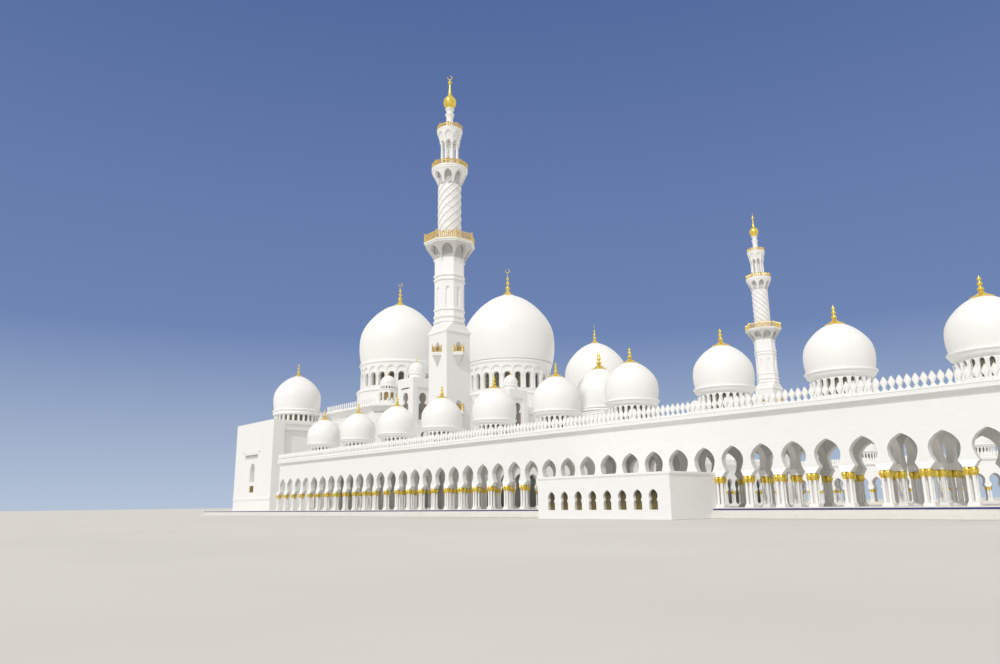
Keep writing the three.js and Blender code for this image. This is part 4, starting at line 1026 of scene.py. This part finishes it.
mg = minaret()
bs, bg, bd = balconies()
mg.add(bs).add(bd)
both("minaret_body", mg, ["minaret_base", "minaret_shaft", "minaret_lantern"], 28)
k8 = 1 / math.cos(pi / 8)
lower = Geo()
railing(lower, MIN_X, MIN_Y, 5.54 * k8, 62.13, 64.4, False, pi / 8, 8, 9)
lower.add(bg)
both("minaret_gallery_lower", lower, ["minaret_lower_railing"])
mid = Geo()
railing(mid, MIN_X, MIN_Y, 4.16, 81.34, 82.9, True, 0, 8, 5, 1.3)
both("minaret_gallery_middle", mid, ["minaret_middle_railing"])
upr = Geo()
railing(upr, MIN_X, MIN_Y, 2.9, 91.68, 93.0, True, 0, 8, 3, 1.25)
both("minaret_gallery_upper", upr, ["minaret_upper_railing"])
fin = Geo()
ballp = [(0, 97.75), (0.5, 97.8), (0.95, 98.05), (1.3, 98.45), (1.52, 98.95), (1.58, 99.5), (1.5, 100.05), (1.28, 100.5), (0.92, 100.9), (0.6, 101.2), (0.42, 101.6), (0.33, 102.2), (0.26, 103.1), (0.19, 104.0), (0.15, 104.5), (0.3, 104.6), (0.44, 104.78), (0.48, 105.0), (0.42, 105.2), (0.25, 105.4), (0.12, 105.6), (0.09, 105.84), (0, 105.86)]
fin.lathe(ballp, 32, MIN_X, MIN_Y, GOLD)
crescent(fin, MIN_X, MIN_Y, 106.4, 0.54)
both("minaret_top", fin, ["minaret_finial"])


# ------------------------------------------------------------- keyhole niches
def keyhole(w, z0, h, n=10):
    """Pointed horseshoe over a narrower slot, about x = 0: outline, anticlockwise."""
    a, zc = w / 2, z0 + h * 0.74
    out = [(-a * 0.84, z0), (a * 0.84, z0), (a * 0.66, z0 + h * 0.5), (a * 0.6, z0 + h * 0.55)]
    for i in range(n + 1):
        t = -0.62 + (pi / 2 + 0.62) * i / n
        q = 1 + 0.1 * max(0.0, math.sin(t)) ** 6
        out.append((a * math.cos(t), zc + (h * 0.26 / 1.1 if t > 0 else a) * math.sin(t) * q))
    out[-1] = (0, z0 + h)
    left = [(-u, v) for u, v in out[2:-1][::-1]]
    return out + left


def niche(g, w, z0, h, face, c, frame_=0.28, glass=GLASS, bars=True):
    """A framed keyhole window on a flat wall. face is s, n, e or w with its plane's place; c is the centre along it."""
    side, at = face
    o = keyhole(w, z0, h)
    t = Geo()
    # proud flat frame, then the opening's reveal and its glazing
    fo = [(-w / 2 - frame_ * 2.0, z0 - frame_), (w / 2 + frame_ * 2.0, z0 - frame_), (w / 2 + frame_ * 2.0, z0 + h + frame_ * 1.6), (-w / 2 - frame_ * 2.0, z0 + h + frame_ * 1.6)]
    tri = ring_face(fo, o, -0.09)
    t.faces(tri[0], tri[1], TRIM)
    m = len(o)
    # rim of the frame
    p = [(u, -0.09, v) for u, v in fo] + [(u, 0.02, v) for u, v in fo]
    t.faces(p, [(i, (i + 1) % 4, 4 + (i + 1) % 4, 4 + i) for i in range(4)], TRIM)
    # reveal
    p = [(u, -0.09, v) for u, v in o] + [(u, -0.012, v) for u, v in o]
    t.faces(p, [(i, m + i, m + (i + 1) % m, (i + 1) % m) for i in range(m)], TRIM)
    t.faces([(u, -0.012, v) for u, v in o], [tuple(range(m))], glass)
    if bars:
        for i in range(1, 6):
            z = z0 + h * 0.16 * i
            t.box(-w * 0.34, w * 0.34, -0.04, -0.012, z - 0.02, z + 0.02, RAIL)
        t.box(-0.02, 0.02, -0.04, -0.012, z0, z0 + h * 0.96, RAIL)
    turn = {"s": 0, "e": pi / 2, "n": pi, "w": -pi / 2}[side]
    shift = {"s": (c, at, 0), "n": (c, at, 0), "e": (at, c, 0), "w": (at, c, 0)}[side]
    g.add(t, turn=turn, shift=shift)


def ring_face(outer_, inner_, y):
    """Faces between two outlines in the plane y, made with Blender's tessellator."""
    a = [Vector((u, v, 0)) for u, v in outer_]
    b = [Vector((u, v, 0)) for u, v in inner_]
    tris = tessellate_polygon([a, b])
    pts = [(u, y, v) for u, v in list(outer_) + list(inner_)]
    return pts, [tuple(t) for t in tris]


# --------------------------------------------------------- panels with openings
def wall_panel(g, plane, at, outline, holes, mat=WHITE):
    """A flat wall face with recessed openings. plane is s or e; each hole is [outline, depth, material of its back, or None to leave it open]."""
    sgn = -1 if plane in "sw" else 1
    k = (lambda u, d, z: (u, at - sgn * d, z)) if plane in "sn" else (lambda u, d, z: (at - sgn * d, u, z))
    loops = [outline] + [h_[0] for h_ in holes]
    tris = tessellate_polygon([[Vector((u, v, 0)) for u, v in lp] for lp in loops])
    pts = [k(u, 0, v) for lp in loops for u, v in lp]
    g.faces(pts, [tuple(t_) for t_ in tris], mat)
    for h_ in holes:
        lp, dep, bm_ = h_
        m = len(lp)
        p = [k(u, 0, v) for u, v in lp] + [k(u, dep, v) for u, v in lp]
        g.faces(p, [(i, m + i, m + (i + 1) % m, (i + 1) % m) for i in range(m)], mat)
        if bm_:
            g.faces([k(u, dep, v) for u, v in lp], [tuple(range(m))], bm_)


def rect(a, b, c, d):
    return [(a, c), (b, c), (b, d), (a, d)]


def pointed(cx, z0, w, h_, n=8):
    a = w / 2
    rise = w * 0.85
    out = [(cx - a, z0), (cx + a, z0), (cx + a, z0 + h_ - rise)]
    for i in range(1, n):
        t_ = i / n * pi / 2
        out.append((cx + a * math.cos(t_) ** 0.85, z0 + h_ - rise + rise * math.sin(t_) ** 1.15))
    out.append((cx, z0 + h_))
    return out + [(2 * cx - u, v) for u, v in out[2:-1][::-1]]


# ------------------------------------------------- towers of the hall's front
def small_dome(g, x, y, z, r, ring, apex, n=40):
    """Short drum, ring and dome for towers and turrets."""
    g.lathe([(0, z), (r * 0.94, z), (r * 0.94, ring - 0.35), (r * 1.02, ring - 0.28), (r * 1.08, ring - 0.14), (r * 1.08, ring), (r * 0.98, ring + 0.1), (0, ring + 0.1)], n, x, y, TRIM)
    pr = dome_profile(r, ring + 0.04, apex, 24)
    g.lathe([(0, ring + 0.04)] + pr, n, x, y, DOME)
    finial(g, x, y, pr, 1.2, 0.45, 10)


def lobed(c, z0, zt, foot, top):
    """A wide slot with a pinched neck under a round, slightly pointed head."""
    zp = zt - 2.75 * (top / 2.35)
    up = [(foot / 2, z0), (foot / 2, zp - 0.35), (top * 0.33, zp - 0.05), (top * 0.31, zp + 0.12)]
    for i in range(11):
        t_ = -0.85 + (pi / 2 + 0.85) * i / 10
        up.append((top / 2 * math.cos(t_), zt - top * 0.62 + top * (0.62 if t_ > 0 else 0.5) * math.sin(t_)))
    up[-1] = (0, zt)
    return [(c + u, v) for u, v in up] + [(c - u, v) for u, v in up[:-1][::-1]]


for i, name in enumerate(("outer", "inner")):
    g = Geo()
    y, w = TOWERS[i], TOWER_W / 2
    xw, xe_, ys_, yn_ = TOWER_X - w, TOWER_X + w, y - w, y + w
    g.box(xw, xe_ - 0.75, ys_ + 0.75, yn_, FLOOR, TOWER_Z - 0.4, WHITE)
    g.box(xw, xw + 0.1, ys_ + 0.01, ys_ + 0.8, FLOOR, TOWER_Z - 0.4, WHITE)
    g.box(xe_ - 0.8, xe_ - 0.01, yn_ - 0.1, yn_, FLOOR, TOWER_Z - 0.4, WHITE)
    g.box(xw, xe_, ys_, yn_, TOWER_Z - 0.4, TOWER_Z, WHITE)
    if not i:
        g.box(xw, xe_, yn_ - 0.1, 121, FLOOR, 29, WHITE)
    # south face: lobed niche with its back dark as painted shade, with a slot under the top
    wall_panel(
        g, "s", ys_, rect(xw, xe_, FLOOR, TOWER_Z - 0.4),
        [(lobed(TOWER_X + 0.14, 23.3, 30.3, 2.5, 2.35), 0.5, NICHE_SHADE), (rect(TOWER_X - 1.9, TOWER_X + 1.75, 31.2, 31.55), 0.35, NIGHT)],
    )
    # east face: the same niche in a shallow upright panel, and a smaller one below, their backs dark as painted shade
    wall_panel(
        g, "e", xe_, rect(ys_, yn_, FLOOR, TOWER_Z - 0.4),
        [(rect(y - 2.0, y + 1.74, 22.4, 31.56), 0.3, None), (lobed(y - 0.13, 15.0, 20.2, 1.7, 1.5), 0.4, NICHE_SHADE)],
    )
    wall_panel(g, "e", xe_ - 0.3, rect(y - 2.0, y + 1.74, 22.4, 31.56), [(lobed(y - 0.13, 23.3, 30.25, 2.6, 2.35), 0.35, NICHE_SHADE)])
    small_dome(g, TOWER_X, y, TOWER_Z, 2.1, 35.5, 38.75)
    both(f"tower_{name}", g, [f"hall_tower_{name}"])


# -------------------------------------------------------------- portal block
def medium_dome(x, y, z0, r, ring, apex, base_r, fin_h, skirt, q, n=28):
    """Dome over a drum with a ring of arched windows, as on the portal and the end blocks."""
    g = Geo()
    wz0, wz1 = z0 + 0.45, ring - 0.12
    g.lathe([(0, z0 - 0.4), (base_r + 0.25, z0 - 0.4), (base_r + 0.25, wz0 - 0.2), (base_r + 0.1, wz0 - 0.08), (base_r - 0.7, wz0)], 64, x, y, TRIM)
    g.comb(arch_top(0.6, wz0, wz1, 0.42, 7, 0.05), ring + 0.06, round_map(x, y, n, base_r, base_r - 0.6), range(n), TRIM)
    for k in range(n):
        a = (k + 0.5) * 2 * pi / n
        g.lathe([(0.2, wz0), (0.15, wz0 + 0.15), (0.13, wz1 - 0.6), (0.22, wz1 - 0.42), (0.22, wz1 - 0.34)], 8, x + (base_r + 0.03) * math.cos(a), y + (base_r + 0.03) * math.sin(a), TRIM)
    g.lathe([(base_r - 0.52, wz0 - 0.1), (base_r - 0.52, ring)], 64, x, y, OLIVE)
    # two rounded lips with a hollow between them
    lips = [(0, -0.02), (base_r, -0.02), (r - 0.28, 0.0), (r - 0.08, 0.14), (r - 0.02, 0.4), (r - 0.08, 0.66), (r - 0.24, 0.82), (r - 0.26, 0.94), (r - 0.04, 1.04), (r + 0.08, 1.2), (r + 0.1, 1.36), (r + 0.02, 1.52), (r - 0.18, 1.62), (0, 1.64)]
    g.lathe([(u, ring + v * q) for u, v in lips], 96, x, y, TRIM)
    pr = dome_profile(r, ring + 1.55 * q, apex, 36)
    g.lathe([(0, ring + 1.55 * q)] + pr, 96, x, y, DOME)
    finial(g, x, y, pr, fin_h, skirt, 20)
    return g


g = Geo()
h = PORTAL_HALF
px0, px1 = HALL_EAST + 0.05, PORTAL_X + PORTAL_HALF
t = 1.2
# east face with its tall pointed doorway, and side faces with smaller ones
east = [(u / h, z) for u, z in [(4.0, FLOOR), (4.0, 13.5), (3.9, 14.6), (3.5, 15.9), (2.7, 17.1), (1.6, 18.1), (0.7, 18.7), (0, 19.0)]]
g.comb(east, PORTAL_Z - 0.03, along_y(YC, 2 * h - 0.04, px1, px1 - t), [0], WHITE, True)
side = [(u / h, z) for u, z in [(3.0, FLOOR), (3.0, 9.6), (2.9, 10.6), (2.5, 11.8), (1.8, 12.8), (0.8, 13.6), (0, 14.0)]]
for s_, e_ in ((YC - h, YC - h + t), (YC + h, YC + h - t)):
    g.comb(side, PORTAL_Z, along_x(PORTAL_X - 0.015, 2 * h - 0.03, s_, e_), [0], WHITE, True)
    g.box(px0, PORTAL_X - h, min(s_, e_), max(s_, e_), FLOOR, PORTAL_Z, WHITE)
g.box(px0, px1 - 0.1, YC - h + 0.1, YC + h - 0.1, PORTAL_ROOF - 1.0, PORTAL_ROOF, WHITE)
for a_, b_, c_, d_ in ((px0, px1 + 0.12, YC - h - 0.12, YC - h + 0.5), (px0, px1 + 0.12, YC + h - 0.5, YC + h + 0.12), (px1 - 0.5, px1 + 0.12, YC - h + 0.5, YC + h - 0.5)):
    g.box(a_, b_, c_, d_, PORTAL_Z - 0.9, PORTAL_Z - 0.5, TRIM)
    g.box(a_, b_, c_, d_, PORTAL_Z - 0.3, PORTAL_Z + 0.03, TRIM)
for yy in (YC - 6.3, YC + 6.3):
    niche(g, 1.9, 17.0, 5.6, ("e", px1), yy, glass=OLIVE)
    niche(g, 1.9, 5.0, 5.6, ("e", px1), yy, glass=OLIVE)
g.add(medium_dome(PORTAL_X, YC, PORTAL_ROOF, 7.5, 28.85, 43.1, 6.9, 4.7, 2.2, 0.8))
piece("portal", g, ["portal_block"])


# ------------------------------------------------------------------ end block
g = Geo()
# body behind the panels
g.box(BLOCK_W, BLOCK_E - 0.84, BLOCK_S + 1.6, BLOCK_N, FLOOR, BLOCK_Z - 0.05, WHITE)
# the backs of the upper recess and of the pointed window's recess in grey: painted shade
wall_panel(
    g, "s", BLOCK_S, rect(BLOCK_W, BLOCK_E, FLOOR, BLOCK_Z),
    [(rect(-220.6, -211.6, 16.15, 17.3), 0.45, GREY), (pointed(-214.9, 9.3, 3.4, 5.5), 1.1, GREY), (rect(-216.3, -213.5, 6.4, 8.3), 0.5, GLASS)],
)
g.box(BLOCK_W, BLOCK_E - 0.9, BLOCK_S + 0.01, BLOCK_N, BLOCK_Z - 0.3, BLOCK_Z, WHITE)
g.box(BLOCK_W, BLOCK_W + 0.1, BLOCK_S + 0.01, BLOCK_S + 1.7, FLOOR, BLOCK_Z, WHITE)
g.box(BLOCK_W - 0.02, BLOCK_E + 0.02, BLOCK_S - 0.12, BLOCK_S + 0.1, 4.4, 4.85, TRIM)
g.box(BLOCK_W - 0.02, BLOCK_E + 0.02, BLOCK_S - 0.08, BLOCK_S + 0.1, 4.1, 4.25, TRIM)
# frame round the tall recess of the south face
for a_, b_, c_, d_ in ((-221.4, -221.0, 5.6, 18.2), (-211.0, -210.6, 5.6, 18.2), (-221.4, -210.6, 17.9, 18.3)):
    g.box(a_, b_, BLOCK_S - 0.07, BLOCK_S + 0.1, c_, d_, TRIM)
for i in range(6):
    u = -216.1 + i * 0.48
    g.box(u - 0.04, u + 0.04, BLOCK_S + 0.1, BLOCK_S + 0.2, 6.4, 8.3, RAIL)
# stepped panel of the east face
for a_, b_, c_, d_ in ((BLOCK_S + 0.01, 96.4, FLOOR, BLOCK_Z), (111.0, BLOCK_N, FLOOR, BLOCK_Z), (96.4, 111.0, FLOOR, 5.0), (96.4, 111.0, 25.6, BLOCK_Z)):
    g.box(BLOCK_E - 0.95, BLOCK_E, a_, b_, c_, d_, WHITE)
g.box(BLOCK_E - 0.95, BLOCK_E - 0.25, 96.4, 111.0, 23.9, 25.6, WHITE)
# mullions of the pointed window
for u in (-215.6, -214.2):
    g.box(u - 0.05, u + 0.05, BLOCK_S + 0.95, BLOCK_S + 1.08, 9.3, 13.4, TRIM)
for yy in (100.0, 105.5, 111.0):
    niche(g, 1.9, 16.0, 5.6, ("w", BLOCK_W), yy)
g.add(medium_dome(BDOME_X, BDOME_Y, BLOCK_Z, 7.08, 29.35, 42.0, 6.45, 4.0, 1.15, 1.0, 26))
both("end_pavilion", g, ["end_block"])


# ---------------------------------------------------------------- prayer hall
def hall_outline(o):
    s = [(HALL_UP - o, HALL_S - o), (-182.3 + 0.41 * o, HALL_S - o), (-177.0 + 0.41 * o, 119.0 - o), (HALL_EAST + 0.1 * o, 119.0 - o)]
    n_ = [(x_, 2 * YC - y_) for x_, y_ in s][::-1]
    e = BLOCK_N + 0.02 - 0.1 * o
    w_ = [(HALL_UP - o, 2 * YC - e), (-222.0 - o, 2 * YC - e), (-222.0 - o, e), (HALL_UP - o, e)]
    return s + n_ + w_


g = Geo()
g.prism(hall_outline(0.0), "xy", 27.9, HALL_Z - 0.05, WHITE)
# upper wall that carries the roof on over the end blocks
for a_, b_ in ((HALL_S, BLOCK_N), (2 * YC - BLOCK_N, 2 * YC - HALL_S)):
    g.box(HALL_UP, BLOCK_E, a_, b_, BLOCK_Z + 0.02, 28.0, WHITE)
# sloped underside of the projecting cornice, then its thin edge
lo, hi = hall_outline(0.0), hall_outline(1.3)
m = len(lo)
g.faces([(u, v, 28.35) for u, v in lo] + [(u, v, 29.8) for u, v in hi], [tuple(range(m)), tuple(range(m, 2 * m))] + [(i, m + i, m + (i + 1) % m, (i + 1) % m) for i in range(m)], TRIM)
g.prism(hall_outline(1.36), "xy", 29.78, HALL_Z, TRIM)


def turret(g, x, y):
    """Octagonal turret with an arched window on each face, a row of small lights and a dome."""
    g.lathe([(0, HALL_Z), (2.75, HALL_Z), (2.75, 30.9), (2.6, 31.05), (2.6, 31.4)], 8, x, y, TRIM, pi / 8)
    g.comb(arch_top(0.72, 31.5, 33.75, 0.7, 7), 34.4, poly_map(x, y, 8, 2.38, 1.95), range(8), TRIM)
    g.lathe([(2.12, 31.3), (2.12, 34.4)], 8, x, y, AMBER, pi / 8)
    g.lathe([(0, 34.3), (2.6, 34.3), (2.72, 34.42), (2.72, 34.6), (2.5, 34.72), (2.2, 34.8)], 8, x, y, TRIM, pi / 8)
    g.comb(arch_top(0.5, 34.8, 35.4, 0.22, 4), 35.5, round_map(x, y, 16, 2.12, 1.85), range(16), TRIM)
    g.lathe([(1.95, 34.7), (1.95, 35.5)], 32, x, y, GLASS)
    small_dome(g, x, y, 35.3, 2.26, 35.7, 38.85, 40)


for ty in TURRETS:
    turret(g, TURRET_X, ty)
    turret(g, TURRET_X, 2 * YC - ty)
# balustrade of small merlons on the roof's edge
SM = Geo()
PP = [(0.26, 0), (0.26, 0.16), (0.13, 0.4), (0.11, 0.65), (0.23, 1.05), (0.19, 1.35), (0, 1.8)]
rows, pts, f = [], [], []
for (u, v) in PP:
    i = len(pts)
    pts += [(-u, -0.13, v), (u, -0.13, v), (u, 0.13, v), (-u, 0.13, v)]
    rows.append(list(range(i, i + 4)))
for a_, b_ in zip(rows, rows[1:]):
    for i in range(4):
        f.append((a_[i], a_[(i + 1) % 4], b_[(i + 1) % 4], b_[i]))
SM.faces(pts, f, TRIM)
edge = hall_outline(0.95)
for (ax, ay), (bx, by) in zip(edge, edge[1:] + edge[:1]):
    ln = math.hypot(bx - ax, by - ay)
    if ln < 1.0:
        continue
    ang = math.atan2(by - ay, bx - ax)
    m = max(1, int(ln / 1.2))
    rot = Geo().add(SM, turn=ang)
    for i in range(m):
        t_ = (i + 0.5) / m
        g.add(rot, shift=(ax + (bx - ax) * t_, ay + (by - ay) * t_, HALL_Z))
piece("hall_top", g, ["hall_roof"])

# walls: flat faces with framed keyhole windows
g = Geo()
for x in (-198.0, -193.3, -188.6):
    for side_, at in (("s", HALL_S), ("n", 2 * YC - HALL_S)):
        niche(g, 1.9, 17, 6.2, (side_, at), x)
for i in range(-4, 5):
    if i:
        niche(g, 2.3, 17, 7.4, ("w", -222.0), YC + i * 11.2)
piece("hall_windows", g)

# ------------------------------------------------------------ portico arcade
ys = MIN_Y + MIN_W / 2
ye = 2 * YC - ys
n = 32
st = (ye - ys) / n
xe = MIN_X + MIN_W / 2
g = Geo()
g.comb(ARCH_N, WALL_TOP + 0.1, along_y(ys + st / 2, st, xe, xe - ARC_T), range(n), WHITE, True)
piece("portico_wall", g, ["west_arcade_south", "west_arcade_north"])
cols = Geo()
pier_row(cols, [(xe - ARC_T / 2, ys + 0.55 if k == 0 else ye - 0.55 if k == n else ys + k * st) for k in range(n + 1)], COARSE, pi / 2)
piece("portico_columns", cols)
rf = Geo()
sec = [(HALL_EAST + 0.05, WALL_TOP), (xe + 0.02, WALL_TOP), (xe + 0.06, 12.38), (xe + 0.06, 12.6), (xe + 0.2, 12.7), (xe + 0.2, 12.84), (xe + 0.58, 12.92), (xe + 0.58, 13.36), (xe + 0.62, 13.4), (xe + 0.62, PARAPET_Z), (xe - 0.12, PARAPET_Z), (xe - 0.12, SLAB_Z), (HALL_EAST + 0.05, SLAB_Z)]
rf.prism(sec, "xz", ys, ye, WHITE)
xm = MIN_X - MIN_W / 2 - 0.06
ya = ARC_N + 0.6
rf.box(HALL_EAST + 0.07, xm, ya, ys + 0.5, WALL_TOP + 0.02, SLAB_Z - 0.02, WHITE)
rf.box(HALL_EAST + 0.07, xm, ye - 0.5, 2 * YC - ya, WALL_TOP + 0.02, SLAB_Z - 0.02, WHITE)
merlon_row(rf, ys, ye, xe + 0.3, pi / 2)
piece("portico_roof", rf, ["west_arcade_roof"])

# ------------------------------------------------------------------ low wing
g = Geo()
LOBE = [(0.65, 1.2), (0.65, 2.1), (0.6, 2.25), (0.46, 2.42), (0.57, 2.52), (0.66, 2.7), (0.68, 2.9), (0.64, 3.1), (0.54, 3.3), (0.38, 3.48), (0.18, 3.62), (0, 3.72)]
LOBE = LOBE + [(-u, v) for u, v in LOBE[:-1][::-1]]
# the windows' glazing darkens towards its head: painted shade
wall_panel(g, "s", WING_S, rect(WING_W, WING_E, 0, 5.2), [([(x + u, v) for u, v in LOBE], 0.44, SHADED) for x in WINDOWS])
g.box(WING_W, WING_W + 0.5, WING_S + 0.01, ARC_S - 0.02, 0, 5.2, WHITE)
g.box(WING_E - 0.5, WING_E, WING_S + 0.01, ARC_S - 0.02, 0, 5.2, WHITE)
g.box(WING_W + 0.5, WING_E - 0.5, WING_S + 0.46, WING_S + 0.5, 0, 5.2, WHITE)
for x in WINDOWS:
    # fine lattice before the gilded glazing
    for i in range(-2, 3):
        g.box(x + i * 0.2 - 0.018, x + i * 0.2 + 0.018, WING_S + 0.34, WING_S + 0.39, 1.22, 3.6 - abs(i) * 0.06, BRONZE)
    for i in range(9):
        z = 1.4 + i * 0.26
        hw = 0.63 if z < 2.3 else 0.5 if z < 2.8 else 0.58 if z < 3.3 else 0.34
        g.box(x - hw, x + hw, WING_S + 0.35, WING_S + 0.38, z - 0.015, z + 0.015, BRONZE)
    # marble sill
    g.box(x - 0.8, x + 0.8, WING_S - 0.04, WING_S + 0.1, 1.06, 1.15, TRIM)
piece("wing_front", g, ["wing_walls"])
g = Geo()
for a_, z0_, z1_ in ((0.0, 5.2, 5.34), (0.05, 5.34, 5.46), (0.12, 5.46, 5.68), (0.08, 5.68, 5.75)):
    g.box(WING_W - a_, WING_E + a_, WING_S - a_, ARC_S - 0.02, z0_, z1_, WHITE)
piece("wing_top", g, ["wing_roof"])

# --------------------------------------------------------------------- podium
pod = Geo()
s0, n0 = 84.9, 2 * YC - 84.9
for a_, b_ in ((-228.8, WING_W - 0.02), (WING_E + 0.02, -12.4)):
    pod.box(a_, b_, s0 - 0.03, s0 + 0.02, 1.0, 1.19, BLUE)
pod.box(-228.8, -12.4, n0 - 0.02, n0 + 0.03, 1.0, 1.19, BLUE)
piece("blue_strip", pod)
nose = Geo()
for a_, b_ in ((-228.8, WING_W - 0.02), (WING_E + 0.02, -12.4)):
    nose.box(a_, b_, s0 - 0.09, s0 + 0.02, 1.19, 1.3, PLINTH)
    nose.box(a_, b_, s0 - 0.7, s0 + 0.02, 0.55, 0.56, PLINTH)
nose.box(-228.8, -12.4, n0 - 0.02, n0 + 0.09, 1.19, 1.3, PLINTH)
piece("step_nosing", nose)

for node, mat in (("podium", PLINTH), ("hall_walls", WHITE)):
    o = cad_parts[node]
    o.data.materials.clear()
    o.data.materials.append(mat)

# ---------------------------------------------------------- floor and backdrop
me = bpy.data.meshes.new("pale_floor")
R = 900.0
me.from_pydata([(-R, -R, -0.002), (R, -R, -0.002), (R, R, -0.002), (-R, R, -0.002)], [], [(0, 1, 2, 3)])
floor = bpy.data.objects.new("pale_floor", me)
bpy.context.scene.collection.objects.link(floor)
fm_ = plain("floor_pale", (0.62, 0.6, 0.57), (0.66, 0.64, 0.61), 0.7, 0.6)
me.materials.append(fm_)

world = bpy.data.worlds.new("studio")
bpy.context.scene.world = world
world.use_nodes = True
wt = world.node_tree
bg = wt.nodes["Background"]
tc = wt.nodes.new("ShaderNodeTexCoord")
sp = wt.nodes.new("ShaderNodeSeparateXYZ")
wt.links.new(tc.outputs["Generated"], sp.inputs[0])
rp = wt.nodes.new("ShaderNodeValToRGB")
rp.color_ramp.elements[0].position = 0.0
rp.color_ramp.elements[0].color = (0.46, 0.55, 0.68, 1)
rp.color_ramp.elements[1].position = 0.75
rp.color_ramp.elements[1].color = (0.06, 0.11, 0.3, 1)
e = rp.color_ramp.elements.new(0.22)
e.color = (0.16, 0.24, 0.46, 1)
wt.links.new(sp.outputs[2], rp.inputs["Fac"])
# the gradient is the backdrop; the light itself is an even, near neutral one
lp = wt.nodes.new("ShaderNodeLightPath")
mx = wt.nodes.new("ShaderNodeMix")
mx.data_type = "RGBA"
mx.inputs["A"].default_value = (0.7, 0.69, 0.675, 1)
wt.links.new(rp.outputs["Color"], mx.inputs["B"])
wt.links.new(lp.outputs["Is Camera Ray"], mx.inputs["Factor"])
wt.links.new(mx.outputs["Result"], bg.inputs["Color"])
bg.inputs["Strength"].default_value = 1.0

sun = bpy.data.lights.new("key_sun", "SUN")
sun.energy = 1.7
sun.angle = math.radians(1.5)
sun.color = (1.0, 0.985, 0.955)
so = bpy.data.objects.new("key_sun", sun)
bpy.context.scene.collection.objects.link(so)
az, el = math.radians(17), math.radians(42)
to_sun = Vector((math.sin(az) * math.cos(el), -math.cos(az) * math.cos(el), math.sin(el)))
so.rotation_euler = to_sun.to_track_quat("Z", "Y").to_euler()

# --------------------------------------------------------------------- camera
cam = bpy.data.cameras.new("camera")
cam.sensor_width = 36.0
cam.lens = 26.887
cam.clip_end = 5000
co = bpy.data.objects.new("camera", cam)
bpy.context.scene.collection.objects.link(co)
right = Vector((0.66180191, 0.74955796, -0.01345712))
up = Vector((0.17715145, -0.13891854, 0.97433003))
fwd = Vector((-0.72844739, 0.64719742, 0.22472183))
m = Matrix((right, up, -fwd)).transposed().to_4x4()
m.translation = Vector((12.06, -17.42, 0.21))
co.matrix_world = m
bpy.context.scene.camera = co

vs = bpy.context.scene.view_settings
vs.view_transform = "Standard"
vs.look = "None"
vs.exposure = 0.0
vs.gamma = 1.0

print("triangles", sum(c for _, c in made), sorted(made, key=lambda q: -q[1])[:8])
